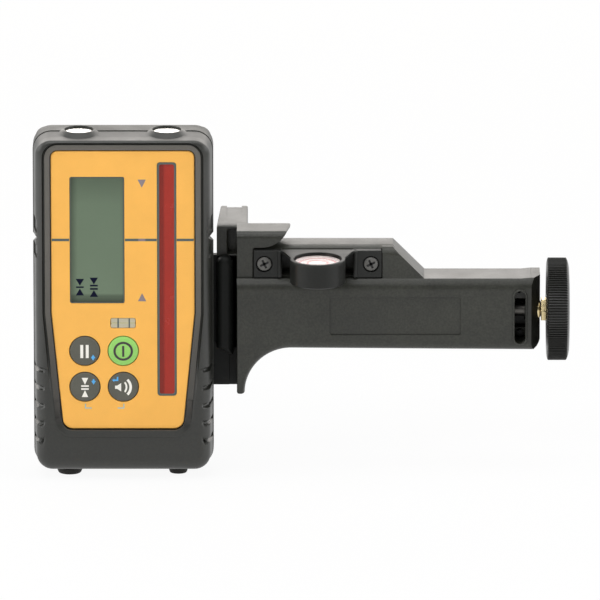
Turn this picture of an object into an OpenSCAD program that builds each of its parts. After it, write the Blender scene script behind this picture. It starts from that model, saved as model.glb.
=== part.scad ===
// Laser receiver on a rod clamp holder, as an assembly of separate pieces.
// Origin: on the fixed jaw's gripping face, in the rod seat plane, level with the on-grade line.
// X runs along the holder's arm, Y points to the back and Z up. Lengths are in millimetres.

/* [Receiver housing] */
// Distance from the fixed jaw's face to the receiver's centre line
receiver_offset = 52.4; // [51.5:0.1:60]
// Width of the housing
receiver_w = 76; // [75:0.5:84]
// Height of the housing above the on-grade line
receiver_up = 44.4; // [43.6:0.2:56]
// Height of the housing below the on-grade line
receiver_down = 102.1; // [100:0.1:112]
// Depth of the housing from bumper to back
receiver_d = 26; // [26:0.5:32]
// Depth of the front half from bumper to parting line
front_half_d = 14; // [13:0.5:17]
// Thickness of the housing's outer walls
housing_wall = 2.2; // [1.8:0.1:2.6]
// Thickness of the front wall behind the panel
front_wall = 1.6; // [1.2:0.1:2]
// Radius of the housing's corners seen from the front
corner_r = 8; // [7:0.5:10]
// Radius of the bumper's rounded front edge
bumper_r = 5; // [3:0.25:5.5]
// Inward draft of the front half between parting line and bumper
bumper_draft = 1.2; // [0.6:0.1:1.6]
// Radius of the rounded back edge
back_edge_r = 3; // [1:0.5:4]

/* [Face panel] */
// Depth of the panel below the bumper
panel_recess = 1.5; // [0.8:0.1:2]
// Thickness of the panel
panel_t = 1.2; // [1:0.1:1.6]
// Width of the panel's upper part
panel_w = 60.4; // [58:0.2:62]
// Width of the panel at its bottom corners
panel_low_w = 50.4; // [48:0.2:56]
// Height of the panel's top edge above the on-grade line
panel_up = 38.6; // [37:0.2:39]
// Distance below the on-grade line where the panel starts to taper
panel_taper_down = 32; // [28:0.5:36]
// Distance of the panel's bottom edge below the on-grade line
panel_down = 82.4; // [80:0.2:88]
// Radius of the panel's top corners
panel_top_r = 2.8; // [1:0.1:4]
// Radius of the panel's bottom corners
panel_low_r = 4.2; // [3:0.1:6]
// Gap around the panel
panel_gap = 0.3; // [0.1:0.05:0.5]
// Width of the flat bezel around the panel
bezel_w = 1.3; // [0.8:0.1:1.6]
// Height of the bezel above the panel
bezel_proud = 0.4; // [0.1:0.1:0.8]
// Width of the groove between bezel and bumper
bezel_groove_w = 1; // [0.6:0.1:1.2]
// Depth of that groove below the bezel
bezel_groove_d = 0.7; // [0.3:0.1:1]

/* [Windows] */
// Width of the display pane's opening
display_w = 22.4; // [18:0.2:24]
// Height of the display pane's opening
display_h = 54.6; // [40:0.2:56]
// Distance of the display's centre left of the receiver's centre line
display_left = 10.5; // [10:0.1:12]
// Distance of the display's centre below the on-grade line
display_down = 0.4; // [0:0.1:2]
// Depth of the display pane below the panel
display_recess = 0.5; // [0.1:0.1:0.7]
// Corner radius of the display pane's opening
display_r = 0.8; // [0.4:0.1:3]
// Width of the detector pane's opening
detector_w = 8.2; // [6:0.2:9]
// Height of the detector pane above the on-grade line
detector_up = 33.7; // [28:0.1:35]
// Height of the detector pane below the on-grade line
detector_down = 68.1; // [50:0.1:72]
// Distance of the detector's centre line right of the receiver's
detector_right = 18.5; // [17:0.1:19]
// Depth of the detector pane below the panel
detector_recess = 0.2; // [0.1:0.1:0.5]
// Corner radius of the detector pane's opening
detector_r = 1.2; // [0.4:0.1:3]
// Width of the ledge that a pane rests on
pane_ledge = 1; // [0.6:0.1:1.6]
// Clearance around a pane
pane_gap = 0.1; // [0.05:0.05:0.2]

/* [Keys] */
// Diameter of a key
key_d = 12.6; // [10:0.2:13]
// Running gap around a key
key_gap = 0.3; // [0.2:0.05:0.4]
// Height of a key above the panel
key_proud = 0.5; // [0.2:0.1:1]
// Travel of a key
key_travel = 0.5; // [0.3:0.1:0.6]
// Width of the flange that keeps a key in
key_flange_w = 1; // [0.6:0.1:1.2]
// Thickness of that flange
key_flange_t = 0.7; // [0.5:0.1:0.8]
// Distance between the key columns
key_pitch_x = 16.2; // [15.6:0.1:18]
// Distance between the key rows
key_pitch_z = 15.7; // [15.4:0.1:17]
// Distance of the upper key row below the on-grade line
key_row_down = 48.4; // [48:0.1:52]

/* [Tube level] */
// Width of the tube level's block
tube_level_w = 10.6; // [9:0.1:14]
// Height of the tube level's block
tube_level_h = 4.4; // [4:0.1:5]
// Depth of the tube level's block
tube_level_d = 2.8; // [2.4:0.1:2.9]
// Distance of the tube level below the on-grade line
tube_level_down = 36.3; // [35:0.1:37]
// Depth of the block's face below the panel
tube_level_recess = 0.3; // [0.1:0.1:0.5]
// Diameter of the glass tube
tube_vial_d = 2.2; // [1.6:0.1:2.4]

/* [Magnets and feet] */
// Diameter of a magnet disc
magnet_d = 11.4; // [8:0.2:12]
// Thickness of a magnet disc
magnet_t = 2; // [1:0.1:2]
// Depth of a magnet below the top of its rim
magnet_sink = 0.6; // [0.2:0.1:1]
// Height of that rim above the housing's top
magnet_rim_h = 0.4; // [0.2:0.1:0.8]
// Distance of each magnet's centre from the housing's side
magnet_in = 19.5; // [16:0.1:23]
// Diameter of the boss around a magnet
magnet_boss_d = 18.8; // [16:0.2:20]
// Diameter of the left foot
left_foot_d = 11.4; // [8:0.2:14]
// Diameter of the right foot
right_foot_d = 8.6; // [6:0.2:12]
// Distance of each foot's centre from the housing's side
foot_in = 15; // [13:0.5:20]
// Height of the feet
foot_h = 2.7; // [2:0.1:6]

/* [Inside the receiver] */
// Gap between the front wall and the main board
board_standoff = 2.2; // [2.2:0.1:3]
// Thickness of the main board
board_t = 1.2; // [0.8:0.1:1.4]
// Distance of the board's bottom edge below the on-grade line
board_down = 73; // [72.5:0.5:76]
// Diameter of a cell
cell_d = 14.5; // [14:0.1:14.6]
// Length of a cell
cell_l = 50.5; // [49:0.1:51]
// Room for the contacts at each end of the cells
contact_room = 2.4; // [2:0.1:2.6]
// Thickness of the battery tub's walls
tub_wall = 1.4; // [1:0.1:1.6]
// Thickness of the battery door
door_t = 2; // [1.6:0.1:2.1]
// Diameter of the buzzer
buzzer_d = 17; // [12:0.5:22]
// Thickness of the buzzer
buzzer_t = 5; // [3:0.5:8]
// Height of the buzzer's centre above the on-grade line
buzzer_up = 18; // [12:0.5:24]
// Number of photodiodes behind the detector pane
photodiode_count = 13; // [6:1:16]

/* [Holder frame] */
// Distance of the arm's left side from the fixed jaw's face
arm_left = 4.5; // [4:0.1:6]
// Length of the arm to the right of the fixed jaw's face
arm_l = 119.7; // [118:0.1:140]
// Distance of the arm's top below the on-grade line
arm_down = 19.8; // [19:0.1:22]
// Height of the arm
arm_h = 30.4; // [30:0.2:36]
// Depth of the arm
arm_d = 19.5; // [19:0.1:24]
// Radius of the arm's top front edge
arm_top_r = 5.5; // [2:0.1:7]
// Radius of the arm's bottom front edge
arm_low_r = 1.5; // [0.5:0.1:3]
// Thickness of the arm's walls
arm_wall = 2.5; // [2:0.1:3]
// Thickness of the back plate
plate_t = 4; // [3.5:0.1:5]
// Width of the fixed jaw
jaw_w = 13; // [11:0.5:14]
// Depth of both jaws
jaw_d = 30; // [24:0.5:36]
// Distance of both jaws' bottoms below the on-grade line
jaw_down = 54; // [50:0.5:60]
// Radius of the leg's curve under the arm
leg_r = 19.6; // [14:0.2:24]
// Thickness of the leg at its foot
leg_t = 3.3; // [2.5:0.1:4]
// Depth of the raised section and the index beak
raised_d = 13.5; // [12:0.1:16]
// Distance of the raised section's top below the on-grade line
raised_down = 6.5; // [5.5:0.1:8]
// Left end of the raised section's top
raised_left = 17; // [16.5:0.1:20]
// Right end of the raised section's top
raised_right = 61.4; // [59:0.1:70]
// Reach of the index beak's tip from the fixed jaw's face
beak_reach = 17.5; // [16:0.1:18.2]
// Radius of the beak's underside
beak_r = 12.3; // [11:0.1:14]
// Distance of the receiver's screw below the on-grade line
thumb_down = 38; // [36:0.5:42]
// Radius of the plate around the receiver's screw
plate_r = 15; // [12:0.5:16]

/* [Clamp] */
// Opening between the jaws at rest
jaw_gap = 48; // [20:0.5:70]
// Thickness of the moving jaw
moving_jaw_w = 14; // [12:0.5:20]
// Distance of the moving jaw's top below the on-grade line
moving_jaw_top_down = 15; // [14.5:0.5:24]
// Diameter of the lead screw
lead_d = 6; // [5:0.1:7]
// Running gap of a shaft in its bore
running_gap = 0.05; // [0.02:0.01:0.08]
// Sliding gap of the carriage in the arm
slide_gap = 0.3; // [0.2:0.05:0.5]
// Length of the carriage in the arm
carriage_l = 20; // [16:0.5:24]
// Diameter of the clamp knob
knob_d = 43.4; // [34:0.2:50]
// Width of the clamp knob
knob_w = 10; // [8:0.1:14]
// Number of ridges on the clamp knob
knob_ridges = 120; // [40:1:140]
// Width of the jam nut across its flats
jam_nut_af = 9; // [8:0.1:11]
// Thickness of the jam nut
jam_nut_t = 2.3; // [1.6:0.1:3]
// Thickness of the end cap
end_cap_t = 3.9; // [3:0.1:5]
// Bevel of the end cap's edges
end_cap_bevel = 3.2; // [1:0.1:3.4]

/* [Level] */
// Distance of the level's centre right of the fixed jaw's face
level_right = 29.6; // [28:0.1:32]
// Distance of the level's centre in front of the raised section
level_out = 16.7; // [15:0.1:20]
// Outer diameter of the level's cup
cup_d = 23.4; // [22.5:0.1:26]
// Height of the level's cup
cup_h = 10.6; // [10:0.1:14]
// Diameter of the level's pocket in the cup
cup_bore_d = 20.2; // [18:0.1:20.5]
// Thickness of the bracket's ears
ear_t = 4; // [3:0.1:5]
// Height of the bracket's ears
ear_h = 11.8; // [11:0.1:13]
// Left end of the bracket
bracket_left = 2.6; // [1:0.1:4]
// Right end of the bracket
bracket_right = 56.6; // [55:0.1:62]
// Width of the bracket's neck at the ears
neck_w = 26.6; // [24:0.1:30]
// Distance of each ear screw from the bracket's end
ear_screw_in = 4.5; // [4.5:0.1:6]
// Head diameter of the ear screws
ear_screw_head_d = 6.3; // [5:0.1:7]

/* [Hidden] */
$fn = 64;

// Facets of the curves inside a hull
hull_fn = 32;
// Steps of a rounded edge inside a hull
edge_steps = 6;
// Overrun of every cut
over = 1;
// Overlap of shapes that are joined into one piece
weld = 0.4;
// Small clearance of fixed pieces that are pushed together
seat_gap = 0.05;

// Colours
rubber_colour = "#3a3b36";
panel_colour = "#f2b75c";
arm_colour = "#43443f";
gloss_black = "#2c2d2b";
steel_colour = "#b9b9b5";
brass_colour = "#cfae5c";
board_colour = "#2f6b45";
key_colour = "#6b6b61";

// Planes and centre lines of the receiver
receiver_x = -receiver_offset;
back_y = -plate_t;
front_y = back_y - receiver_d;
panel_y = front_y + panel_recess;
pocket_y = panel_y + panel_t;
inner_front_y = pocket_y + front_wall;
split_y = front_y + front_half_d;
inner_back_y = back_y - housing_wall;
inner_inset = housing_wall + bumper_draft;
bezel_y = panel_y - bezel_proud;
groove_y = bezel_y + bezel_groove_d;
inner_half_w = receiver_w / 2 - inner_inset;
inner_up = receiver_up - inner_inset;
inner_down = receiver_down - inner_inset;

// Seal between the housing's halves
seal_w = 0.8;
seal_h = 1.4;
seal_land = 0.3;
seal_inset = inner_inset - seal_land - seal_w;

// Housing screws and their bosses
boss_d = 5.2;
screw_d = 2.5;
screw_head_d = 4.6;
screw_head_t = 1.8;
screw_head_gap = 0.3;
screw_bore_d = screw_d + 2 * seat_gap;
screw_well = 4;
screw_l = 13.5;
screw_well_d = screw_head_d + 2 * screw_head_gap;
well_boss_d = screw_well_d + 2 * tub_wall;
boss_x = inner_half_w - boss_d / 2 + weld;
boss_up = inner_up - boss_d / 2 + weld;

// Side notch at the on-grade line, the marks beside it and the grip grooves
notch_depth = 1.9;
mark_depth = 0.7;
mark_w = 4;
mark_h = 6.5;
mark_start = 3;
mark_out = 3;
mark_y = split_y - mark_out;
grip_count = 5;
grip_start_down = 59.1;
grip_pitch = 7.9;
grip_h = 2.4;
grip_depth = 0.9;
grip_x = panel_w / 2 + panel_gap + bezel_w + bezel_groove_w;

// Main board and what it carries
board_front_y = inner_front_y + board_standoff;
board_back_y = board_front_y + board_t;
board_gap = 0.6;
board_half_w = inner_half_w - board_gap;
board_up = inner_up - board_gap;
display_gap = 0.2;
display_border = 1;
standoff_d = 4;
standoff_gap = 0.5;
standoff_left = display_left + display_w / 2 + display_border + standoff_gap + standoff_d / 2;
standoff_right = detector_right + detector_w / 2 + standoff_gap + standoff_d / 2;
standoff_up = boss_up - boss_d / 2 - board_gap - standoff_gap - standoff_d / 2;
standoff_down = key_row_down + key_pitch_z / 2;
board_screw_d = 1.8;
board_screw_head_d = 3.6;
board_screw_head_t = 1.1;
board_screw_grip = 1.7;
photodiode_w = 4.6;
photodiode_gap = 0.4;
photodiode_inset = 3.4;
switch_d = 5;
switch_gap = 0.1;

// Key places relative to the receiver's centre line
key_left_x = receiver_x - key_pitch_x;
key_right_x = receiver_x;
key_upper_z = -key_row_down;
key_lower_z = -key_row_down - key_pitch_z;
key_hole_d = key_d + 2 * key_gap;
key_back_y = inner_front_y + key_gap + key_flange_t;
key_chamfer = 0.4;
switch_y = key_back_y + key_travel + switch_gap;

// Tube level
tube_level_y = panel_y + tube_level_recess;
tube_level_wall = 1;
tube_vial_l = tube_level_w - 2 * seat_gap;

// Battery tub, cells and door
tub_gap = 0.15;
tub_half_w = cell_l / 2 + contact_room;
tub_h = 2 * cell_d + 2 * tub_gap;
tub_low_z = -inner_down + tub_wall + tub_gap;
tub_top_z = tub_low_z + tub_h;
tub_back_y = back_y - door_t;
tub_front_y = tub_back_y - cell_d - 2 * tub_gap;
cell_y = tub_front_y + tub_gap + cell_d / 2;
cell_nub_d = 5.4;
cell_nub_l = 1.3;
contact_t = 0.4;
contact_w = 11;
contact_button_d = 5;
rim_w = 1.05;
door_gap = 0.3;
door_r = 2;
door_half_w = tub_half_w + rim_w - door_gap;
door_low_z = tub_low_z - rim_w + door_gap;
door_top_z = tub_top_z + rim_w - door_gap;
door_tab_half_w = 8;
door_seal_w = 0.6;
door_seal_t = 0.5;
boss_low_z = tub_top_z + tub_wall + boss_d / 2;
lock_d = 4;
lock_l = 7;
lock_head_d = 7;
lock_head_t = 1.2;
lock_slot_w = 1.4;
lock_slot_d = 0.7;
lock_boss_d = 12;
lock_gap = 0.3;
lock_rim = 0.7;
door_tab_h = lock_head_d + 2 * lock_gap + 2 * lock_rim;
lock_z = door_top_z + door_tab_h / 2;
door_lift_w = 12;
door_lift_d = 0.8;

// Buzzer grille
grille_hole_d = 1.6;
grille_r = 4.5;
grille_count = 8;

// Rear label recess
label_w = 44;
label_h = 14;
label_depth = 0.4;
label_up = 32;

// Thumb screw that holds the receiver on the holder's plate
insert_d = 9;
insert_l = 8;
insert_wall = 2;
thumb_d = 6;
thumb_tip_gap = 1;
thumb_head_d = 20;
thumb_head_w = 8.5;
thumb_gap = 0.3;
thumb_lobes = 8;
thumb_lobe_d = 4.4;
ring_d = 10;
ring_t = 0.8;
ring_gap = 0.3;

// Holder frame
arm_top_z = -arm_down;
arm_low_z = arm_top_z - arm_h;
screw_y = -arm_d / 2;
lead_z = arm_top_z - arm_h / 2;
cavity_left = 2;
cavity_up = arm_top_z - arm_wall;
cavity_low = arm_low_z + arm_wall;
cavity_front_y = -arm_d + arm_wall;
cavity_back_y = -arm_wall;
journal_l = 3;
slot_half_h = 7;
slot_left = 8;
slot_in = 16;
slot_right = arm_l - slot_in;
window_w = 4.9;
window_h = 23.1;
window_rim_w = 0.9;
window_rim_t = 0.4;
window_in = 4.6;
window_drop = 1.1;
plate_low_z = arm_low_z - leg_r;
plate_side = 9;
plate_side_down = 13;
plate_left_x = max(-jaw_w - plate_side, receiver_x + door_half_w + 2 * door_gap);
name_left = 34.7;
name_w = 55.4;
name_h = 16.4;
name_top_gap = 7.7;
name_depth = 0.4;
raised_run = arm_down - raised_down;
wall_gap = 0.3;
notch_floor_down = 11.2;
notch_floor_x = 9.7;
channel_rib_w = 7;
channel_rib_d = 5.5;
channel_rib_top_down = 12.9;
channel_rib_down = 56.3;
channel_rib_slant = 3.6;
channel_rib_gap = 1.7;
jaw_side_wall = 2.5;
jaw_top_recess = 1;
jaw_pocket_left = 9.3;
jaw_pocket_up = 1.6;
jaw_pocket_down = 12.5;
jaw_pocket_y = 2;

// End cap, bush and the lead screw's retainers
cap_tongue_l = 9;
cap_tongue_h = 4;
cap_tongue_gap = 0.1;
cap_screw_d = 2.5;
cap_screw_head_d = 4.6;
cap_screw_head_t = 1.4;
cap_screw_l = 8;
cap_screw_in = 4.5;
bush_d = 9;
bush_flange_d = 12;
bush_flange_t = 0.3;
bush_inner_l = 1;
washer_d = 10;
washer_t = 0.7;
clip_d = 9;
clip_t = 0.7;
retainer_gap = 0.2;
cap_right_x = arm_l + end_cap_t;
bush_left_x = arm_l - bush_inner_l;
jam_nut_x = cap_right_x + bush_flange_t + retainer_gap;
knob_x = jam_nut_x + jam_nut_t;
washer_x = bush_left_x - retainer_gap - washer_t;
clip_x = washer_x - clip_t;
lead_left_x = cavity_left - journal_l + retainer_gap;
knob_hub_d = 12;
knob_hub_depth = 6;
knob_rim_w = 6;
knob_web_t = 4;
knob_ridge_d = 0.45;
knob_shoulder_w = 1.8;
knob_shoulder_r = 2.2;
knob_lip_w = 0.8;
knob_lip_r = 1.4;

// Moving jaw
moving_x = jaw_gap;
carriage_x = moving_x + moving_jaw_w / 2 - carriage_l / 2;
jaw_nut_w = 10;
jaw_nut_l = 8;
moving_jaw_skin = 3;
lead_bore_d = lead_d + 2 * running_gap;
lead_clear_d = lead_d + 2 * slide_gap;

// Level bracket and round level
level_y = -raised_d - level_out;
level_drop = 1.1;
level_top_z = -raised_down - level_drop;
ear_front_y = -raised_d - ear_t;
ear_drop = min(ear_h, arm_down + level_top_z - wall_gap);
ear_screw_z = level_top_z - ear_drop / 2;
ear_screw_d = 3;
ear_screw_head_t = 1.7;
ear_screw_l = 11;
ear_left_x = bracket_left + ear_screw_in;
ear_right_x = bracket_right - ear_screw_in;
level_case_gap = 0.1;
level_case_wall = 1;
level_case_floor = 1.4;
level_pocket_d = 8;
level_lens_t = 1.6;

// Index beak and the block on the other side of the bracket, both clear of it
beak_d = 16;
beak_over_level = 0.9;
beak_drop = -level_top_z - beak_over_level;
beak_centre_up = beak_r - beak_drop;
beak_centre_x = beak_reach - sqrt(beak_r * beak_r - beak_centre_up * beak_centre_up);
block_d = 17.2;
block_sink = 1.5;
block_left_x = bracket_right + wall_gap;
block_top_x = max(raised_right, block_left_x + weld);

// Extrudes a front-view outline between two depths
module slab(y0, y1) {
    translate([0, y1, 0])
        rotate([90, 0, 0])
            linear_extrude(y1 - y0) children();
}

// Extrudes a side-view outline between two places along the arm
module bar(x0, x1) {
    translate([x0, 0, 0])
        rotate([90, 0, 90])
            linear_extrude(x1 - x0) children();
}

// A round bar along Y
module rod_y(y0, y1, d) {
    translate([0, y0, 0])
        rotate([-90, 0, 0])
            cylinder(h = y1 - y0, d = d);
}

// A round bar along X
module rod_x(x0, x1, d) {
    translate([x0, 0, 0])
        rotate([0, 90, 0])
            cylinder(h = x1 - x0, d = d);
}

// A box between two corners
module box(low, high) {
    translate(low)
        cube(high - low);
}

// A rectangle with rounded corners between two corners
module round_rect(low, high, r) {
    size = high - low;
    translate(low + [r, 0])
        square([size.x - 2 * r, size.y]);
    translate(low + [0, r])
        square([size.x, size.y - 2 * r]);
    for (x = [low.x + r, high.x - r])
        for (z = [low.y + r, high.y - r])
            translate([x, z])
                circle(r);
}

// The housing's outline seen from the front, drawn in by an inset
module housing_outline(inset) {
    round_rect([receiver_x - receiver_w / 2 + inset, -receiver_down + inset],
        [receiver_x + receiver_w / 2 - inset, receiver_up - inset], corner_r - inset);
}

// A rounded corner post of one housing half, standing on the parting plane
module corner_post(r, h, draft, edge) {
    rotate_extrude($fn = hull_fn)
        polygon(concat(
            [[0, 0], [r, 0]],
            [for (i = [0 : edge_steps])
                let (a = 90 * i / edge_steps)
                [r - draft - edge + edge * cos(a), h - edge + edge * sin(a)]],
            [[0, h]]));
}

// One housing half as a solid block; dir is -1 for the front half and 1 for the rear half
module half_block(dir, inset, h, draft, edge) {
    r = corner_r - inset;
    hull()
        for (sx = [-1, 1])
            for (z = [receiver_up - corner_r, -receiver_down + corner_r])
                translate([receiver_x + sx * (receiver_w / 2 - corner_r), split_y, z])
                    rotate([-90 * dir, 0, 0])
                        corner_post(r, h, draft, edge);
}

// The face panel's outline, grown by a margin
module panel_outline(grow) {
    hull() {
        for (sx = [-1, 1]) {
            translate([receiver_x + sx * (panel_w / 2 - panel_top_r), panel_up - panel_top_r])
                circle(panel_top_r + grow, $fn = hull_fn);
            translate([receiver_x + sx * (panel_w / 2 - panel_top_r), -panel_taper_down])
                circle(panel_top_r + grow, $fn = hull_fn);
            translate([receiver_x + sx * (panel_low_w / 2 - panel_low_r), -panel_down + panel_low_r])
                circle(panel_low_r + grow, $fn = hull_fn);
        }
    }
}

// The display opening's outline, drawn in by an inset
module display_outline(inset) {
    x = receiver_x - display_left;
    round_rect([x - display_w / 2 + inset, -display_down - display_h / 2 + inset],
        [x + display_w / 2 - inset, -display_down + display_h / 2 - inset], display_r);
}

// The detector opening's outline, drawn in by an inset
module detector_outline(inset) {
    x = receiver_x + detector_right;
    round_rect([x - detector_w / 2 + inset, -detector_down + inset],
        [x + detector_w / 2 - inset, detector_up - inset], detector_r);
}

// The tube level's opening, drawn in by an inset
module tube_level_outline(inset) {
    translate([receiver_x - tube_level_w / 2 + inset, -tube_level_down - tube_level_h / 2 + inset])
        square([tube_level_w - 2 * inset, tube_level_h - 2 * inset]);
}

// Places its children at the four key centres
module at_keys() {
    for (x = [key_left_x, key_right_x])
        for (z = [key_upper_z, key_lower_z])
            translate([x, 0, z])
                children();
}

// Places its children at the housing screws
module at_housing_screws() {
    for (sx = [-1, 1])
        for (z = [boss_up, boss_low_z])
            translate([receiver_x + sx * boss_x, 0, z])
                children();
}

// Places its children at the board's standoffs
module at_standoffs() {
    for (x = [-standoff_left, standoff_right])
        for (z = [standoff_up, -standoff_down])
            translate([receiver_x + x, 0, z])
                children();
}

// Places its children at the two magnets, at the height of the housing's top
module at_magnets() {
    for (sx = [-1, 1])
        translate([receiver_x + sx * (receiver_w / 2 - magnet_in), split_y, receiver_up])
            children();
}

// The pockets of the magnets
module magnet_pockets() {
    at_magnets()
        translate([0, 0, magnet_rim_h - magnet_sink - magnet_t])
            cylinder(h = magnet_t + magnet_sink + over, d = magnet_d + 2 * seat_gap);
}

// The raised rims round the magnets, kept to one side of the parting plane
module magnet_rims(y0, y1) {
    intersection() {
        at_magnets()
            translate([0, 0, -inner_inset / 2])
                cylinder(h = inner_inset / 2 + magnet_rim_h, d = magnet_boss_d);
        box([receiver_x - receiver_w, y0, 0], [receiver_x + receiver_w, y1, receiver_up + over]);
    }
}

// The marks at the on-grade line on both sides of the housing
module side_marks() {
    for (sx = [-1, 1])
        translate([receiver_x + sx * receiver_w / 2, 0, 0]) {
            slab(front_y - over, back_y + over)
                rotate(45)
                    square(notch_depth * sqrt(2), center = true);
            for (sz = [-1, 1])
                translate([0, mark_y, sz * (mark_start + mark_h / 2)])
                    cube([2 * mark_depth, mark_w, mark_h], center = true);
        }
}

// The grip grooves round the front half's lower side edges
module grip_grooves() {
    difference() {
        for (i = [0 : grip_count - 1])
            for (sx = [-1, 1])
                translate([receiver_x + sx * (grip_x + receiver_w / 2), split_y - front_half_d / 2,
                        -grip_start_down - i * grip_pitch])
                    cube([receiver_w, front_half_d - 2 * over, grip_h], center = true);
        half_block(-1, grip_depth, front_half_d - grip_depth, bumper_draft, bumper_r);
    }
}

// The battery tub with its outer walls and a front floor, grown by a margin
module tub_block(grow) {
    side = tub_half_w + tub_wall + grow;
    box([receiver_x - side, tub_front_y - tub_wall / 2 - grow, tub_low_z - tub_wall - grow],
        [receiver_x + side, inner_back_y + weld, tub_top_z + tub_wall + grow]);
}

// The groove of the housing seal and the seal itself
module seal_ring() {
    slab(split_y - seal_h / 2, split_y + seal_h / 2)
        difference() {
            housing_outline(seal_inset);
            housing_outline(seal_inset + seal_w);
        }
}

module front_housing() {
    color(rubber_colour)
    difference() {
        union() {
            difference() {
                half_block(-1, 0, front_half_d, bumper_draft, bumper_r);
                slab(inner_front_y, split_y + over)
                    housing_outline(inner_inset);
            }
            magnet_rims(front_y, split_y);
            at_housing_screws()
                rod_y(inner_front_y - weld, split_y, boss_d);
            at_standoffs()
                rod_y(inner_front_y - weld, board_front_y, standoff_d);
            slab(inner_front_y - weld, tube_level_y + tube_level_d + tube_level_wall)
                tube_level_outline(-tube_level_wall);
        }
        tub_block(tub_gap);
        slab(front_y - over, bezel_y)
            panel_outline(panel_gap + bezel_w + bezel_groove_w);
        slab(front_y - over, groove_y)
            difference() {
                panel_outline(panel_gap + bezel_w + bezel_groove_w);
                panel_outline(panel_gap + bezel_w);
            }
        slab(front_y - over, pocket_y)
            panel_outline(panel_gap);
        slab(front_y, inner_front_y + over)
            display_outline(pane_ledge);
        slab(front_y, inner_front_y + over)
            detector_outline(pane_ledge);
        slab(front_y, tube_level_y + tube_level_d)
            tube_level_outline(0);
        at_keys()
            rod_y(front_y, inner_front_y + over, key_hole_d);
        at_housing_screws()
            rod_y(inner_front_y + weld, split_y + over, screw_bore_d);
        at_standoffs()
            rod_y(board_front_y - board_screw_grip - seat_gap, board_front_y + over,
                board_screw_d + 2 * seat_gap);
        magnet_pockets();
        seal_ring();
        side_marks();
        grip_grooves();
    }
}

// The battery door's outline, grown by a margin
module door_outline(grow) {
    round_rect([receiver_x - door_half_w - grow, door_low_z - grow],
        [receiver_x + door_half_w + grow, door_top_z + grow], door_r);
    round_rect([receiver_x - door_tab_half_w - grow, door_low_z],
        [receiver_x + door_tab_half_w + grow, door_top_z + door_tab_h + grow], door_r);
}

// The sound holes in front of the buzzer
module grille_holes() {
    translate([receiver_x, 0, buzzer_up]) {
        rod_y(inner_back_y - over, back_y + over, grille_hole_d);
        for (i = [0 : grille_count - 1])
            rotate([0, i * 360 / grille_count, 0])
                translate([grille_r, 0, 0])
                    rod_y(inner_back_y - over, back_y + over, grille_hole_d);
    }
}

module rear_housing() {
    color(rubber_colour)
    difference() {
        union() {
            difference() {
                half_block(1, 0, back_y - split_y, 0, back_edge_r);
                slab(split_y - over, inner_back_y)
                    housing_outline(inner_inset);
            }
            magnet_rims(split_y, back_y);
            at_housing_screws()
                rod_y(split_y, inner_back_y + weld, boss_d);
            at_housing_screws()
                rod_y(back_y - screw_well - tub_wall, inner_back_y + weld, well_boss_d);
            tub_block(0);
            box([receiver_x - door_tab_half_w - tub_wall, inner_back_y - tub_wall, tub_top_z],
                [receiver_x + door_tab_half_w + tub_wall, inner_back_y + weld,
                    door_top_z + door_tab_h + tub_wall]);
            translate([receiver_x, 0, lock_z])
                rod_y(inner_back_y - lock_l, inner_back_y + weld, lock_boss_d);
            translate([receiver_x, 0, -thumb_down])
                rod_y(back_y - insert_l - insert_wall, inner_back_y + weld, insert_d + 2 * insert_wall);
        }
        box([receiver_x - tub_half_w, tub_front_y, tub_low_z],
            [receiver_x + tub_half_w, back_y + over, tub_top_z]);
        slab(tub_back_y, back_y + over)
            door_outline(door_gap);
        translate([receiver_x, 0, lock_z])
            rod_y(inner_back_y - lock_l + insert_wall, back_y, lock_d + 2 * running_gap);
        translate([receiver_x, 0, -thumb_down])
            rod_y(back_y - insert_l, back_y + over, insert_d);
        at_housing_screws()
            rod_y(split_y - over, back_y, screw_bore_d);
        at_housing_screws()
            rod_y(back_y - screw_well, back_y + over, screw_well_d);
        grille_holes();
        slab(back_y - label_depth, back_y + over)
            translate([receiver_x - label_w / 2, label_up - label_h / 2])
                square([label_w, label_h]);
        magnet_pockets();
        seal_ring();
        side_marks();
    }
}

module housing_seal() {
    color(gloss_black)
        seal_ring();
}

module face_panel() {
    color(panel_colour)
    difference() {
        slab(panel_y, pocket_y)
            panel_outline(0);
        slab(panel_y - over, pocket_y + over)
            display_outline(0);
        slab(panel_y - over, pocket_y + over)
            detector_outline(0);
        slab(panel_y - over, pocket_y + over)
            tube_level_outline(0);
        at_keys()
            rod_y(panel_y - over, pocket_y + over, key_hole_d);
    }
}

module display_pane() {
    color("#6f7e6b", 0.6)
        slab(panel_y + display_recess, pocket_y)
            display_outline(pane_gap);
}

module display_module() {
    x = receiver_x - display_left;
    color("#76856f")
        box([x - display_w / 2 - display_border, inner_front_y + display_gap,
                -display_down - display_h / 2 - display_border],
            [x + display_w / 2 + display_border, board_front_y,
                -display_down + display_h / 2 + display_border]);
}

module detector_pane() {
    color("#a83e31")
        slab(panel_y + detector_recess, pocket_y)
            detector_outline(pane_gap);
}

module photodiodes() {
    first_z = detector_up - photodiode_inset;
    pitch = (detector_up + detector_down - 2 * photodiode_inset) / (photodiode_count - 1);
    color("#23242a")
        for (i = [0 : photodiode_count - 1])
            translate([receiver_x + detector_right, 0, first_z - i * pitch])
                box([-photodiode_w / 2, inner_front_y + photodiode_gap, -photodiode_w / 2],
                    [photodiode_w / 2, board_front_y, photodiode_w / 2]);
}

module main_board() {
    color(board_colour)
    difference() {
        box([receiver_x - board_half_w, board_front_y, -board_down],
            [receiver_x + board_half_w, board_back_y, board_up]);
        at_housing_screws()
            rod_y(board_front_y - over, board_back_y + over, boss_d + 2 * board_gap);
        at_standoffs()
            rod_y(board_front_y - over, board_back_y + over, board_screw_d + 2 * seat_gap);
    }
}

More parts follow.
